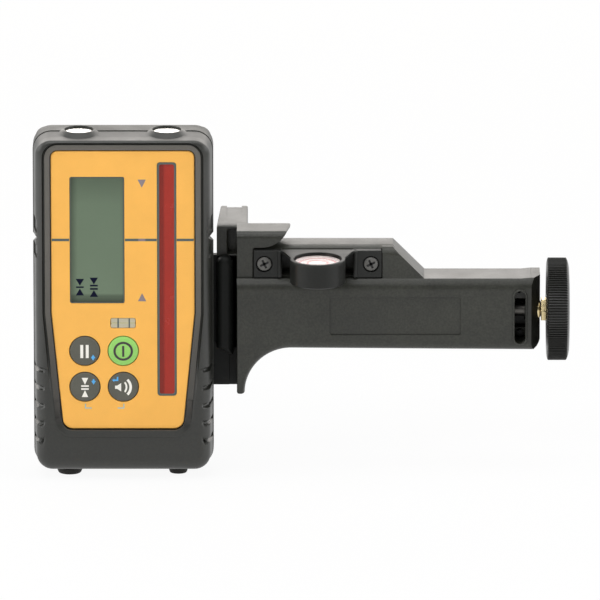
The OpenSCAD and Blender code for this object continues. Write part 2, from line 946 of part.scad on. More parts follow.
module board_screws() {
    color(steel_colour)
        at_standoffs() {
            rod_y(board_front_y - board_screw_grip, board_back_y + weld, board_screw_d);
            rod_y(board_back_y, board_back_y + board_screw_head_t, board_screw_head_d);
        }
}

// A round key: cap with a chamfered face, and the flange that keeps it in
module round_key(x, z, colour) {
    color(colour)
        translate([x, 0, z]) {
            translate([0, panel_y - key_proud + key_chamfer, 0])
                rotate([90, 0, 0])
                    cylinder(h = key_chamfer, d1 = key_d, d2 = key_d - 2 * key_chamfer);
            rod_y(panel_y - key_proud + key_chamfer, key_back_y - key_flange_t / 2, key_d);
            rod_y(inner_front_y + key_gap, key_back_y, key_d + 2 * key_flange_w);
        }
}

module key_pause() {
    round_key(key_left_x, key_upper_z, key_colour);
}

module key_power() {
    round_key(key_right_x, key_upper_z, "#9cc470");
}

module key_precision() {
    round_key(key_left_x, key_lower_z, key_colour);
}

module key_sound() {
    round_key(key_right_x, key_lower_z, key_colour);
}

module dome_switches() {
    color(steel_colour)
        at_keys()
            rod_y(switch_y, board_front_y, switch_d);
}

// The trough of the glass tube, seen from the front
module tube_level_block() {
    color("#bbb59b")
    difference() {
        slab(tube_level_y, tube_level_y + tube_level_d)
            tube_level_outline(seat_gap);
        translate([receiver_x, tube_level_y + tube_vial_d / 2, -tube_level_down])
            rod_x(-tube_level_w, tube_level_w, tube_vial_d + 2 * seat_gap);
        box([receiver_x - tube_level_w, tube_level_y - over,
                -tube_level_down - tube_vial_d / 2 - seat_gap],
            [receiver_x + tube_level_w, tube_level_y + tube_vial_d / 2,
                -tube_level_down + tube_vial_d / 2 + seat_gap]);
    }
}

module tube_level_vial() {
    color("#dfe6a8")
        translate([receiver_x, tube_level_y + tube_vial_d / 2, -tube_level_down])
            rod_x(-tube_vial_l / 2, tube_vial_l / 2, tube_vial_d);
}

module buzzer() {
    color(gloss_black)
        translate([receiver_x, 0, buzzer_up])
            rod_y(inner_back_y - buzzer_t, inner_back_y, buzzer_d);
}

// Places its children at the lower cell and, turned end for end, at the upper one
module at_cells() {
    for (i = [0, 1])
        translate([receiver_x, cell_y, tub_low_z + tub_gap + cell_d / 2 + i * cell_d])
            mirror([i, 0, 0])
                children();
}

module battery_cells() {
    color("#4a5560")
        at_cells() {
            rod_x(-cell_l / 2, cell_l / 2 - cell_nub_l, cell_d);
            rod_x(0, cell_l / 2, cell_nub_d);
        }
}

module battery_contacts() {
    color(steel_colour)
        at_cells()
            for (sx = [-1, 1])
                mirror([sx < 0 ? 1 : 0, 0, 0]) {
                    box([tub_half_w - contact_t, -contact_w / 2, -contact_w / 2],
                        [tub_half_w, contact_w / 2, contact_w / 2]);
                    rod_x(cell_l / 2, tub_half_w - contact_t / 2, contact_button_d);
                }
}

module battery_door() {
    color(rubber_colour)
    difference() {
        slab(tub_back_y, back_y)
            door_outline(0);
        door_seal();
        translate([receiver_x, 0, lock_z])
            rod_y(tub_back_y - over, back_y + over, lock_d + 2 * running_gap);
        translate([receiver_x, 0, lock_z])
            rod_y(back_y - lock_head_t - lock_gap, back_y + over, lock_head_d + 2 * lock_gap);
        translate([receiver_x, back_y, door_low_z])
            cube([door_lift_w, 2 * door_lift_d, 2 * door_lift_d], center = true);
    }
}

module door_seal() {
    color(gloss_black)
        slab(tub_back_y, tub_back_y + door_seal_t)
            difference() {
                round_rect([receiver_x - tub_half_w - door_seal_w, tub_low_z - door_seal_w],
                    [receiver_x + tub_half_w + door_seal_w, tub_top_z + door_seal_w], door_seal_w);
                translate([receiver_x - tub_half_w, tub_low_z])
                    square([2 * tub_half_w, tub_h]);
            }
}

module door_lock() {
    color(steel_colour)
    translate([receiver_x, 0, lock_z])
        difference() {
            union() {
                rod_y(back_y - lock_head_t - lock_l + insert_wall, back_y - lock_head_t / 2, lock_d);
                rod_y(back_y - lock_head_t, back_y, lock_head_d);
            }
            translate([0, back_y, 0])
                cube([lock_head_d + over, 2 * lock_slot_d, lock_slot_w], center = true);
        }
}

module magnets() {
    color(steel_colour)
        at_magnets()
            translate([0, 0, magnet_rim_h - magnet_sink - magnet_t])
                cylinder(h = magnet_t, d = magnet_d);
}

// A tapered foot under the housing
module foot(side, d) {
    taper_share = 0.8;
    color(gloss_black)
        translate([receiver_x + side * (receiver_w / 2 - foot_in), split_y, -receiver_down - foot_h])
            cylinder(h = foot_h, d1 = d * taper_share, d2 = d);
}

module left_foot() {
    foot(-1, left_foot_d);
}

module right_foot() {
    foot(1, right_foot_d);
}

module housing_screws() {
    color(steel_colour)
        at_housing_screws() {
            rod_y(back_y - screw_well - screw_l, back_y - screw_well + weld, screw_d);
            rod_y(back_y - screw_well, back_y - screw_well + screw_head_t, screw_head_d);
        }
}

module mount_insert() {
    color(brass_colour)
        translate([receiver_x, 0, -thumb_down])
            difference() {
                rod_y(back_y - insert_l, back_y, insert_d);
                rod_y(back_y - insert_l - over, back_y + over, thumb_d + 2 * running_gap);
            }
}

// The arm's section seen from its end, drawn in at its front and bottom by an inset
module arm_section(inset) {
    front = -arm_d + inset;
    low = arm_low_z + inset;
    top_r = arm_top_r - inset / 2;
    translate([front, low + arm_low_r])
        square([-front, arm_top_z - top_r - low - arm_low_r]);
    translate([front + top_r, arm_top_z - top_r])
        square([-front - top_r, top_r]);
    translate([front + arm_low_r, low])
        square([-front - arm_low_r, arm_low_r]);
    translate([front + top_r, arm_top_z - top_r])
        circle(top_r);
    translate([front + arm_low_r, low + arm_low_r])
        circle(arm_low_r);
}

// An upright obround seen from the front
module obround(w, h) {
    square([w, h - w], center = true);
    for (sz = [-1, 1])
        translate([0, sz * (h - w) / 2])
            circle(d = w);
}

// The leg under the arm's left end
module leg() {
    slab(-arm_d, 0)
        difference() {
            translate([-arm_left, plate_low_z])
                square([leg_t + leg_r, leg_r + arm_low_r + weld]);
            translate([-arm_left + leg_t + leg_r, plate_low_z])
                circle(leg_r);
        }
}

// The raised section that carries the level, seen from the front
module raised_outline() {
    polygon([
        [-arm_left, -arm_down - weld],
        [raised_right + raised_run, -arm_down - weld],
        [raised_right + raised_run, -arm_down],
        [raised_right, -raised_down],
        [raised_left, -raised_down],
        [notch_floor_x, -notch_floor_down],
        [-arm_left, -notch_floor_down]
    ]);
}

// The index beak, level with the on-grade line
module beak_outline() {
    translate([-arm_left, -notch_floor_down - weld])
        square([arm_left + beak_centre_x, notch_floor_down + weld]);
    beak_nose();
}

// The beak's round nose
module beak_nose() {
    intersection() {
        translate([beak_centre_x, beak_centre_up])
            circle(beak_r);
        translate([beak_centre_x - weld, -beak_drop])
            square([beak_r + 2 * weld, beak_drop]);
    }
}

// The part of the beak and its wall that stands in front of the raised section
module beak_front_outline() {
    translate([-arm_left, -arm_down - block_sink])
        square([arm_left + bracket_left - wall_gap, arm_down + block_sink]);
    translate([-arm_left, -beak_drop])
        square([arm_left + beak_centre_x, beak_drop]);
    beak_nose();
}

// The block in front of the raised section, to the right of the level's bracket
module block_outline() {
    polygon([
        [block_left_x, -arm_down - block_sink],
        [block_top_x + raised_run + block_sink, -arm_down - block_sink],
        [block_top_x, -raised_down],
        [block_left_x, -raised_down]
    ]);
}

// The back plate with its tongue behind the receiver
module plate_outline() {
    translate([-jaw_w, plate_low_z])
        square([jaw_w - arm_left + weld, -plate_low_z]);
    translate([plate_left_x, plate_low_z])
        square([weld - jaw_w - plate_left_x, -plate_low_z - plate_side_down]);
    translate([receiver_x, -thumb_down])
        circle(plate_r);
    translate([receiver_x, -thumb_down - plate_r])
        square([receiver_offset - jaw_w + weld, 2 * plate_r]);
}

// The upright rib in the channel between receiver and arm
module channel_rib() {
    x = -arm_left - channel_rib_gap - channel_rib_w / 2;
    slab(-plate_t - channel_rib_d, -plate_t + weld) {
        translate([x, -channel_rib_top_down - channel_rib_w / 2])
            circle(d = channel_rib_w);
        polygon([
            [x - channel_rib_w / 2, -channel_rib_down + channel_rib_slant],
            [x + channel_rib_w / 2, -channel_rib_down],
            [x + channel_rib_w / 2, -channel_rib_top_down - channel_rib_w / 2],
            [x - channel_rib_w / 2, -channel_rib_top_down - channel_rib_w / 2]
        ]);
    }
}

// The fixed jaw with the shallow recess in its top
module fixed_jaw() {
    difference() {
        box([-jaw_w, -plate_t, -jaw_down], [0, jaw_d, 0]);
        box([-jaw_w + jaw_side_wall, jaw_side_wall, -jaw_top_recess],
            [-jaw_side_wall, jaw_d + over, over]);
    }
}

// Places its children at the end cap's screws
module at_cap_screws() {
    for (z = [cavity_up - cap_tongue_h / 2, cavity_low + cap_tongue_h / 2])
        translate([arm_l - cap_screw_in, 0, z])
            children();
}

module holder_frame() {
    name_z = arm_top_z - name_top_gap - name_h;
    color(arm_colour)
    difference() {
        union() {
            bar(-arm_left, arm_l)
                arm_section(0);
            leg();
            slab(-raised_d, 0)
                raised_outline();
            slab(-raised_d, 0)
                beak_outline();
            slab(-beak_d, weld - raised_d)
                beak_front_outline();
            slab(-block_d, weld - raised_d)
                block_outline();
            slab(-plate_t, 0)
                plate_outline();
            channel_rib();
            fixed_jaw();
            translate([arm_l - window_in, 0, lead_z - window_drop])
                slab(-arm_d - window_rim_t, -arm_d + weld)
                    obround(window_w + 2 * window_rim_w, window_h + 2 * window_rim_w);
        }
        box([cavity_left, cavity_front_y, cavity_low], [arm_l + over, cavity_back_y, cavity_up]);
        box([-jaw_pocket_left, -plate_t - over, -jaw_pocket_down],
            [-arm_left, jaw_pocket_y, -jaw_pocket_up]);
        box([slot_left, cavity_back_y - over, lead_z - slot_half_h],
            [slot_right, over, lead_z + slot_half_h]);
        translate([0, screw_y, lead_z])
            rod_x(cavity_left - journal_l, cavity_left + over, lead_d + 2 * running_gap);
        translate([arm_l - window_in, 0, lead_z - window_drop])
            slab(-arm_d - window_rim_t - over, cavity_front_y + over)
                obround(window_w, window_h);
        box([name_left, -arm_d - over, name_z],
            [name_left + name_w, -arm_d + name_depth, name_z + name_h]);
        translate([receiver_x, 0, -thumb_down])
            rod_y(-plate_t - over, over, thumb_d + 2 * thumb_gap);
        translate([receiver_x, 0, -thumb_down])
            rod_y(-plate_t - over, -plate_t + ring_t + 2 * ring_gap, ring_d + 2 * ring_gap);
        for (x = [ear_left_x, ear_right_x])
            translate([x, 0, ear_screw_z])
                rod_y(-raised_d - over, ear_front_y + ear_screw_head_t + ear_screw_l,
                    ear_screw_d + 2 * seat_gap);
        at_cap_screws()
            rod_y(cavity_back_y - over, over, cap_screw_d + 2 * seat_gap);
        at_cap_screws()
            rod_y(-cap_screw_head_t, over, cap_screw_head_d + 2 * seat_gap);
    }
}

module end_cap() {
    color(arm_colour)
    difference() {
        union() {
            hull() {
                bar(arm_l, arm_l + weld)
                    arm_section(0);
                bar(cap_right_x - weld, cap_right_x)
                    arm_section(end_cap_bevel);
            }
            for (z = [cavity_up - cap_tongue_h, cavity_low])
                box([arm_l - cap_tongue_l, cavity_front_y + cap_tongue_gap, z + cap_tongue_gap],
                    [arm_l + weld, cavity_back_y - cap_tongue_gap, z + cap_tongue_h - cap_tongue_gap]);
        }
        translate([0, screw_y, lead_z])
            rod_x(arm_l - over, cap_right_x + over, bush_d);
        at_cap_screws()
            rod_y(-cap_screw_head_t - cap_screw_l, over, cap_screw_d + 2 * seat_gap);
    }
}

module end_cap_screws() {
    color(steel_colour)
        at_cap_screws() {
            rod_y(-cap_screw_head_t - cap_screw_l, -cap_screw_head_t / 2, cap_screw_d);
            rod_y(-cap_screw_head_t, 0, cap_screw_head_d);
        }
}

module end_bush() {
    color(gloss_black)
    translate([0, screw_y, lead_z])
        difference() {
            union() {
                rod_x(bush_left_x, cap_right_x + weld / 2, bush_d);
                rod_x(cap_right_x, cap_right_x + bush_flange_t, bush_flange_d);
            }
            rod_x(bush_left_x - over, cap_right_x + bush_flange_t + over, lead_bore_d);
        }
}

module lead_screw() {
    color(steel_colour)
        translate([0, screw_y, lead_z])
            rod_x(lead_left_x, knob_x + knob_hub_depth, lead_d);
}

// A ring round the lead screw
module lead_ring(x, t, d) {
    translate([0, screw_y, lead_z])
        difference() {
            rod_x(x, x + t, d);
            rod_x(x - over, x + t + over, lead_d);
        }
}

module thrust_washer() {
    color(brass_colour)
        lead_ring(washer_x, washer_t, washer_d);
}

module retaining_clip() {
    color(steel_colour)
        lead_ring(clip_x, clip_t, clip_d);
}

module jam_nut() {
    color(brass_colour)
    translate([0, screw_y, lead_z])
        difference() {
            translate([jam_nut_x, 0, 0])
                rotate([0, 90, 0])
                    rotate(30)
                        cylinder(h = jam_nut_t, d = jam_nut_af / cos(30), $fn = 6);
            rod_x(jam_nut_x - over, knob_x + over, lead_d);
        }
}

// The knob's ridged band seen along its axis
module ridge_outline() {
    polygon([for (i = [0 : 2 * knob_ridges - 1])
        let (a = 180 * i / knob_ridges, r = knob_d / 2 - (i % 2) * knob_ridge_d)
        [r * cos(a), r * sin(a)]]);
}

module clamp_knob() {
    rim_r = knob_d / 2 - knob_rim_w;
    right = knob_x + knob_w;
    color(gloss_black)
    translate([0, screw_y, lead_z])
        difference() {
            union() {
                bar(knob_x + knob_lip_w, right - knob_shoulder_w)
                    ridge_outline();
                rod_x(knob_x, knob_x + knob_lip_w + weld, knob_d - 2 * knob_lip_r);
                rod_x(right - knob_shoulder_w - weld, right, knob_d - 2 * knob_shoulder_r);
            }
            difference() {
                rod_x(knob_x - over, right - knob_web_t, 2 * rim_r);
                rod_x(knob_x - 2 * over, right, knob_hub_d);
            }
            rod_x(knob_x - over, knob_x + knob_hub_depth, lead_d);
        }
}

module moving_jaw() {
    nut_low = lead_z - jaw_nut_w / 2;
    color(arm_colour)
    difference() {
        union() {
            box([carriage_x, cavity_front_y + slide_gap, cavity_low + slide_gap],
                [carriage_x + carriage_l, cavity_back_y - slide_gap, cavity_up - slide_gap]);
            box([moving_x, cavity_back_y - slide_gap - weld, lead_z - slot_half_h + slide_gap],
                [moving_x + moving_jaw_w, slide_gap + weld, lead_z + slot_half_h - slide_gap]);
            box([moving_x, slide_gap, -jaw_down],
                [moving_x + moving_jaw_w, jaw_d, -moving_jaw_top_down]);
        }
        for (z = [[-jaw_down + moving_jaw_skin, lead_z - moving_jaw_skin / 2],
                [lead_z + moving_jaw_skin / 2, -moving_jaw_top_down - moving_jaw_skin]])
            box([moving_x + moving_jaw_skin, slide_gap + moving_jaw_skin, z[0]],
                [moving_x + moving_jaw_w + over, jaw_d - moving_jaw_skin, z[1]]);
        translate([0, screw_y, lead_z])
            rod_x(carriage_x - over, carriage_x + carriage_l + over, lead_clear_d);
        box([moving_x + moving_jaw_w / 2 - jaw_nut_l / 2, cavity_front_y - over, nut_low],
            [moving_x + moving_jaw_w / 2 + jaw_nut_l / 2, screw_y + jaw_nut_w / 2, nut_low + jaw_nut_w]);
    }
}

module jaw_nut() {
    mid = moving_x + moving_jaw_w / 2;
    color(brass_colour)
    difference() {
        box([mid - jaw_nut_l / 2, screw_y - jaw_nut_w / 2, lead_z - jaw_nut_w / 2],
            [mid + jaw_nut_l / 2, screw_y + jaw_nut_w / 2, lead_z + jaw_nut_w / 2]);
        translate([0, screw_y, lead_z])
            rod_x(mid - jaw_nut_l, mid + jaw_nut_l, lead_bore_d);
    }
}

// The level bracket's neck and cup seen from above
module neck_outline() {
    polygon([
        [level_right - neck_w / 2, ear_front_y + weld],
        [level_right + neck_w / 2, ear_front_y + weld],
        [level_right + cup_d / 2, level_y],
        [level_right - cup_d / 2, level_y]
    ]);
    translate([level_right, level_y])
        circle(d = cup_d);
}

module level_bracket() {
    color(gloss_black)
    difference() {
        union() {
            box([bracket_left, ear_front_y, level_top_z - ear_drop],
                [bracket_right, -raised_d, level_top_z]);
            translate([0, 0, level_top_z - cup_h])
                linear_extrude(cup_h)
                    neck_outline();
        }
        translate([level_right, level_y, level_top_z - level_pocket_d])
            cylinder(h = level_pocket_d + over, d = cup_bore_d);
        for (x = [ear_left_x, ear_right_x])
            translate([x, 0, ear_screw_z]) {
                rod_y(ear_front_y - over, -raised_d + over, ear_screw_d + 2 * seat_gap);
                rod_y(ear_front_y - over, ear_front_y + ear_screw_head_t,
                    ear_screw_head_d + 2 * screw_head_gap);
            }
    }
}

module level_screws() {
    color(steel_colour)
        for (x = [ear_left_x, ear_right_x])
            translate([x, 0, ear_screw_z]) {
                rod_y(ear_front_y + ear_screw_head_t - weld, ear_front_y + ear_screw_head_t + ear_screw_l,
                    ear_screw_d);
                rod_y(ear_front_y, ear_front_y + ear_screw_head_t, ear_screw_head_d);
            }
}

module level_case() {
    case_d = cup_bore_d - 2 * level_case_gap;
    color("#e8e6e0")
    translate([level_right, level_y, level_top_z - level_pocket_d])
        difference() {
            cylinder(h = level_pocket_d - level_lens_t, d = case_d);
            translate([0, 0, level_case_floor])
                cylinder(h = level_pocket_d, d = case_d - 2 * level_case_wall);
        }
}

module level_liquid() {
    case_d = cup_bore_d - 2 * level_case_gap;
    color("#f0e2e0", 0.6)
        translate([level_right, level_y, level_top_z - level_pocket_d + level_case_floor])
            cylinder(h = level_pocket_d - level_lens_t - level_case_floor, d = case_d - 2 * level_case_wall);
}

module level_lens() {
    case_d = cup_bore_d - 2 * level_case_gap;
    color("#f4f4f2", 0.4)
        translate([level_right, level_y, level_top_z - level_lens_t])
            cylinder(h = level_lens_t, d = case_d - level_case_wall);
}

module thumb_screw() {
    head_y = thumb_gap;
    color(gloss_black)
    translate([receiver_x, 0, -thumb_down])
        difference() {
            union() {
                rod_y(back_y - insert_l + thumb_tip_gap, head_y + weld, thumb_d);
                rod_y(head_y, head_y + thumb_head_w, thumb_head_d);
            }
            for (i = [0 : thumb_lobes - 1])
                rotate([0, i * 360 / thumb_lobes, 0])
                    translate([thumb_head_d / 2 + thumb_lobe_d / 4, 0, 0])
                        rod_y(head_y - over, head_y + thumb_head_w + over, thumb_lobe_d);
        }
}

module thumb_screw_ring() {
    color(steel_colour)
    translate([receiver_x, 0, -thumb_down])
        difference() {
            rod_y(back_y + ring_gap, back_y + ring_gap + ring_t, ring_d);
            rod_y(back_y - over, back_y + ring_gap + ring_t + over, thumb_d);
        }
}

front_housing();
rear_housing();
housing_seal();
face_panel();
display_pane();
display_module();
detector_pane();
photodiodes();
main_board();
board_screws();
key_pause();
key_power();
key_precision();
key_sound();
dome_switches();
tube_level_block();
tube_level_vial();
buzzer();
battery_cells();
battery_contacts();
battery_door();
door_seal();
door_lock();
magnets();
left_foot();
right_foot();
housing_screws();
mount_insert();
holder_frame();
end_cap();
end_cap_screws();
end_bush();
lead_screw();
thrust_washer();
retaining_clip();
jam_nut();
clamp_knob();
moving_jaw();
jaw_nut();
level_bracket();
level_screws();
level_case();
level_liquid();
level_lens();
thumb_screw();
thumb_screw_ring();
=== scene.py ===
"""Looks of a laser receiver on a rod clamp holder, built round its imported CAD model.

Lengths are millimetres here and become metres where a mesh is made. X runs along the holder's arm, Y to
the back and Z up, as in the model.
"""
import math

import bmesh
import bpy
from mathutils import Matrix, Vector


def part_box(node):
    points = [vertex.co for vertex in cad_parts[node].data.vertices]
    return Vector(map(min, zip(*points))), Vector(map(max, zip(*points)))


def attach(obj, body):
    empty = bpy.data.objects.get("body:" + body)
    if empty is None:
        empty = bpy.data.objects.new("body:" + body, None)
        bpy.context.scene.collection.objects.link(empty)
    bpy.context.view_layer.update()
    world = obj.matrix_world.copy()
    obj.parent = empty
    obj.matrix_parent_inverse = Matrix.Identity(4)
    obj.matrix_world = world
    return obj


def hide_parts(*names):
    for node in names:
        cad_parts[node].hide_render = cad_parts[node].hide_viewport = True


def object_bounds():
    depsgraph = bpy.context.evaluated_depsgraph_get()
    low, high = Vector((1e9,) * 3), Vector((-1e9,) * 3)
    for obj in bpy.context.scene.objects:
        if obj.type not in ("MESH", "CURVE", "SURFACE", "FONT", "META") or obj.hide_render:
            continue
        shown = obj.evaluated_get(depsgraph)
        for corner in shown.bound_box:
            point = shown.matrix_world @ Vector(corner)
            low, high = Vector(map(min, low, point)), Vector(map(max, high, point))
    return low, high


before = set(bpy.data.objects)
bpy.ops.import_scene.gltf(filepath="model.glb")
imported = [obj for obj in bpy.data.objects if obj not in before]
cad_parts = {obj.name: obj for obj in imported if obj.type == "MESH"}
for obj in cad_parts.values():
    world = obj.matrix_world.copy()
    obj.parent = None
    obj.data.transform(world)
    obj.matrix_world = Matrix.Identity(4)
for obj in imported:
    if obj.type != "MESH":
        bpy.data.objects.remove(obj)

cad_box = [list(corner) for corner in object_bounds()]

MM = 0.001
ROOT = "receiver_and_holder"
OVER = 1.0


def span(node):
    """Lowest and highest corner of a CAD node, in millimetres."""
    return [[value / MM for value in corner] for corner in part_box(node)]


def middle(low, high):
    """Centre of a box."""
    return [(a + b) / 2 for a, b in zip(low, high)]


def smooth_step(value, start, end):
    """0 before start, 1 after end and a soft change between them."""
    share = min(max((value - start) / (end - start), 0.0), 1.0)
    return share * share * (3 - 2 * share)


def blend(a, b, share):
    return a + (b - a) * share


# Outlines: closed lists of corners in a plane, and what rounds or offsets them.

def turned(points, radii):
    """The same outline running counter-clockwise."""
    area = sum(p[0] * q[1] - q[0] * p[1] for p, q in zip(points, points[1:] + points[:1]))
    return (points, radii) if area > 0 else (points[::-1], radii[::-1])


def inset(points, gap):
    """Corners of a counter-clockwise outline with every edge moved inwards by gap."""
    lines = []
    for p, q in zip(points, points[1:] + points[:1]):
        way = (Vector(q) - Vector(p)).normalized()
        lines.append((Vector(p) + Vector((-way.y, way.x)) * gap, way))
    corners = []
    for (p, d), (q, e) in zip(lines[-1:] + lines[:-1], lines):
        cross = d.x * e.y - d.y * e.x
        share = ((q.x - p.x) * e.y - (q.y - p.y) * e.x) / cross if abs(cross) > 1e-9 else 0
        corners.append(tuple(p + d * share) if abs(cross) > 1e-9 else tuple(q))
    return corners


def bends_in(points, i):
    """True where a corner of a counter-clockwise outline points into the outline."""
    p, q, r = (Vector(points[k % len(points)]) for k in (i - 1, i, i + 1))
    return (q.x - p.x) * (r.y - q.y) - (q.y - p.y) * (r.x - q.x) < 0


def fillet(points, radii, steps):
    """An outline with each corner of a radius drawn as an arc of steps + 1 points."""
    out = []
    for i, point in enumerate(points):
        if not radii[i]:
            out.append(tuple(point))
            continue
        here = Vector(point)
        back = (Vector(points[i - 1]) - here).normalized()
        ahead = (Vector(points[(i + 1) % len(points)]) - here).normalized()
        half = back.angle(ahead) / 2
        reach = radii[i] / math.tan(half)
        centre = here + (back + ahead).normalized() * (radii[i] / math.sin(half))
        start = here + back * reach - centre
        end = here + ahead * reach - centre
        first = math.atan2(start.y, start.x)
        sweep = math.atan2(end.y, end.x) - first
        sweep -= 2 * math.pi * round(sweep / (2 * math.pi))
        for k in range(steps + 1):
            angle = first + sweep * k / steps
            out.append((centre.x + radii[i] * math.cos(angle), centre.y + radii[i] * math.sin(angle)))
    return out


def oblong(x, z, width, height):
    """Corners of an upright rectangle about a centre."""
    return [(x - width / 2, z - height / 2), (x + width / 2, z - height / 2),
            (x + width / 2, z + height / 2), (x - width / 2, z + height / 2)]


def rect(low_x, low_z, high_x, high_z):
    return [(low_x, low_z), (high_x, low_z), (high_x, high_z), (low_x, high_z)]


def front_of(low, high, gap=0.0):
    """A box's outline seen from the front, grown by a gap."""
    return rect(low[0] - gap, low[2] - gap, high[0] + gap, high[2] + gap)


def at_level(points, level):
    """An outline seen from the front, at a level between front and back."""
    return [(x, level, z) for x, z in points]


def disc(x, z, radius, count=48):
    """Points of a circle."""
    return [(x + radius * math.cos(2 * math.pi * k / count), z + radius * math.sin(2 * math.pi * k / count))
            for k in range(count)]


def arc_band(x, z, radius, width, start, end, count=20):
    """A band along an arc, from one angle to another in degrees."""
    angles = [math.radians(blend(start, end, k / count)) for k in range(count + 1)]
    outer, inner = ([(x + r * math.cos(a), z + r * math.sin(a)) for a in angles]
                    for r in (radius + width / 2, radius - width / 2))
    return outer + inner[::-1]


# Solids: meshes in bmesh form, in metres.

def placed(axis, a, b, level):
    """A point of an outline that is drawn along an axis: (y, z), (x, z) or (x, y) at a level."""
    return {"X": (level, a, b), "Y": (a, level, b), "Z": (a, b, level)}[axis]


def loft(rings, closed=False):
    """A skin through rings of as many points each, with an end face on the first and last ring."""
    solid = bmesh.new()
    rows = [[solid.verts.new(Vector(point) * MM) for point in ring] for ring in rings]
    for a, b in zip(rows, rows[1:] + (rows[:1] if closed else [])):
        for i in range(len(a)):
            j = (i + 1) % len(a)
            solid.faces.new((a[i], a[j], b[j], b[i]))
    if not closed:
        solid.faces.new(rows[0][::-1])
        solid.faces.new(rows[-1])
    bmesh.ops.remove_doubles(solid, verts=solid.verts, dist=1e-7)
    bmesh.ops.recalc_face_normals(solid, faces=solid.faces)
    return solid


def rounded_levels(low, high, edges, turns):
    """(level, inset) pairs of a bar with rounded ends; a negative edge flares out, for a cutter's mouth."""
    levels = []
    for end, edge, sign in ((low, edges[0], 1), (high, edges[1], -1)):
        part = [(end, 0.0)]
        if edge:
            angles = [math.pi / 2 * k / turns for k in range(turns + 1)]
            part = [(end + sign * abs(edge) * (1 - math.cos(a)), edge * (1 - math.sin(a))) for a in angles]
        if edge < 0:
            part.insert(0, (end - sign * OVER, edge))
        levels += part if sign > 0 else part[::-1]
    return levels


def prism(points, axis, low, high, radii=0.0, edges=(0.3, 0.3), steps=5, turns=3):
    """An outline drawn along an axis, with rounded corners and rounded end edges."""
    radii = list(radii) if isinstance(radii, (list, tuple)) else [radii] * len(points)
    points, radii = turned([tuple(p) for p in points], radii)
    rings = []
    for level, depth in rounded_levels(low, high, edges, turns):
        grown = [max(r + (depth if bends_in(points, i) else -depth), 0.03) if r else 0
                 for i, r in enumerate(radii)]
        rings.append([placed(axis, a, b, level) for a, b in fillet(inset(points, depth), grown, steps)])
    return loft(rings)


def sharp(points, axis, low, high, radii=0.0, steps=5):
    """An outline drawn along an axis, with plain end edges."""
    return prism(points, axis, low, high, radii, (0, 0), steps)


def bore(a, b, radius, low, high, mouth=(0, 0), count=40, axis="Y"):
    """A round bar along an axis, mostly to cut with."""
    return prism(disc(a, b, radius, count), axis, low, high, 0, mouth)


def bevelled(radius, low, high, edge=0.3):
    """Profile of a rod with bevelled ends, for lathe."""
    return [(radius - edge, low), (radius, low + edge), (radius, high - edge), (radius - edge, high)]


def lathe(profile, axis, centre, count=64, wave=None):
    """A turned solid from (radius, level) pairs; wave(angle, level) adds to the radius."""
    rings = []
    for radius, level in profile:
        ring = []
        for k in range(count):
            angle = 2 * math.pi * k / count
            r = radius + (wave(angle, level) if wave else 0)
            a, b = centre[0] + r * math.cos(angle), centre[1] + r * math.sin(angle)
            ring.append(placed(axis, a, b, level))
        rings.append(ring)
    return loft(rings)


def stand_in(solid):
    """A scene object for a boolean."""
    mesh = bpy.data.meshes.new("solid")
    solid.to_mesh(mesh)
    solid.free()
    made = bpy.data.objects.new("solid", mesh)
    bpy.context.scene.collection.objects.link(made)
    return made


def combined(solid, others, operation):
    """A solid with others cut from it or joined to it."""
    base = stand_in(solid)
    tools = [stand_in(other) for other in others]
    for tool in tools:
        step = base.modifiers.new("step", "BOOLEAN")
        step.object = tool
        step.operation = operation
        step.solver = "EXACT"
    shaped = base.evaluated_get(bpy.context.evaluated_depsgraph_get())
    mesh = bpy.data.meshes.new_from_object(shaped)
    out = bmesh.new()
    out.from_mesh(mesh)
    bmesh.ops.remove_doubles(out, verts=out.verts, dist=1e-7)
    for made in [base] + tools:
        data = made.data
        bpy.data.objects.remove(made)
        bpy.data.meshes.remove(data)
    bpy.data.meshes.remove(mesh)
    return out


def cut(solid, *others):
    return combined(solid, others, "DIFFERENCE")


def joined(solid, *others):
    return combined(solid, others, "UNION")


def piece(name, solids, look, nodes=(), body=ROOT, crease=33):
    """A scene object from solids, riding a body and standing for CAD nodes."""
    mesh = bpy.data.meshes.new(name)
    whole = bmesh.new()
    for solid in solids:
        part = bpy.data.meshes.new("part")
        solid.to_mesh(part)
        solid.free()
        whole.from_mesh(part)
        bpy.data.meshes.remove(part)
    whole.to_mesh(mesh)
    whole.free()
    mesh.polygons.foreach_set("use_smooth", [True] * len(mesh.polygons))
    mesh.set_sharp_from_angle(angle=math.radians(crease))
    made = bpy.data.objects.new(name, mesh)
    bpy.context.scene.collection.objects.link(made)
    mesh.materials.append(look)
    normals = made.modifiers.new("normals", "WEIGHTED_NORMAL")
    normals.keep_sharp = True
    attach(made, body)
    if nodes:
        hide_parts(*nodes)


# Materials: each has its own grain, gloss and colour spread, all from nodes.

def linear(colour):
    """A 0-255 display colour as linear light, with alpha."""
    shares = [value / 255 for value in colour]
    return [s / 12.92 if s <= 0.04045 else ((s + 0.055) / 1.055) ** 2.4 for s in shares] + [1.0]


def node(tree, kind, **sockets):
    made = tree.nodes.new(kind)
    for name, value in sockets.items():
        made.inputs[name.replace("_", " ")].default_value = value
    return made


def ramp(tree, factor, low, high, start, end):
    """A colour or grey that changes from low to high between two values of a factor."""
    made = tree.nodes.new("ShaderNodeValToRGB")
    made.color_ramp.elements[0].position = start
    made.color_ramp.elements[1].position = end
    made.color_ramp.elements[0].color = low
    made.color_ramp.elements[1].color = high
    tree.links.new(factor, made.inputs["Fac"])
    return made.outputs["Color"]


def grey(value):
    return (value, value, value, 1.0)


def shaded(colour, share):
    return [value * share for value in colour[:3]] + [1.0]


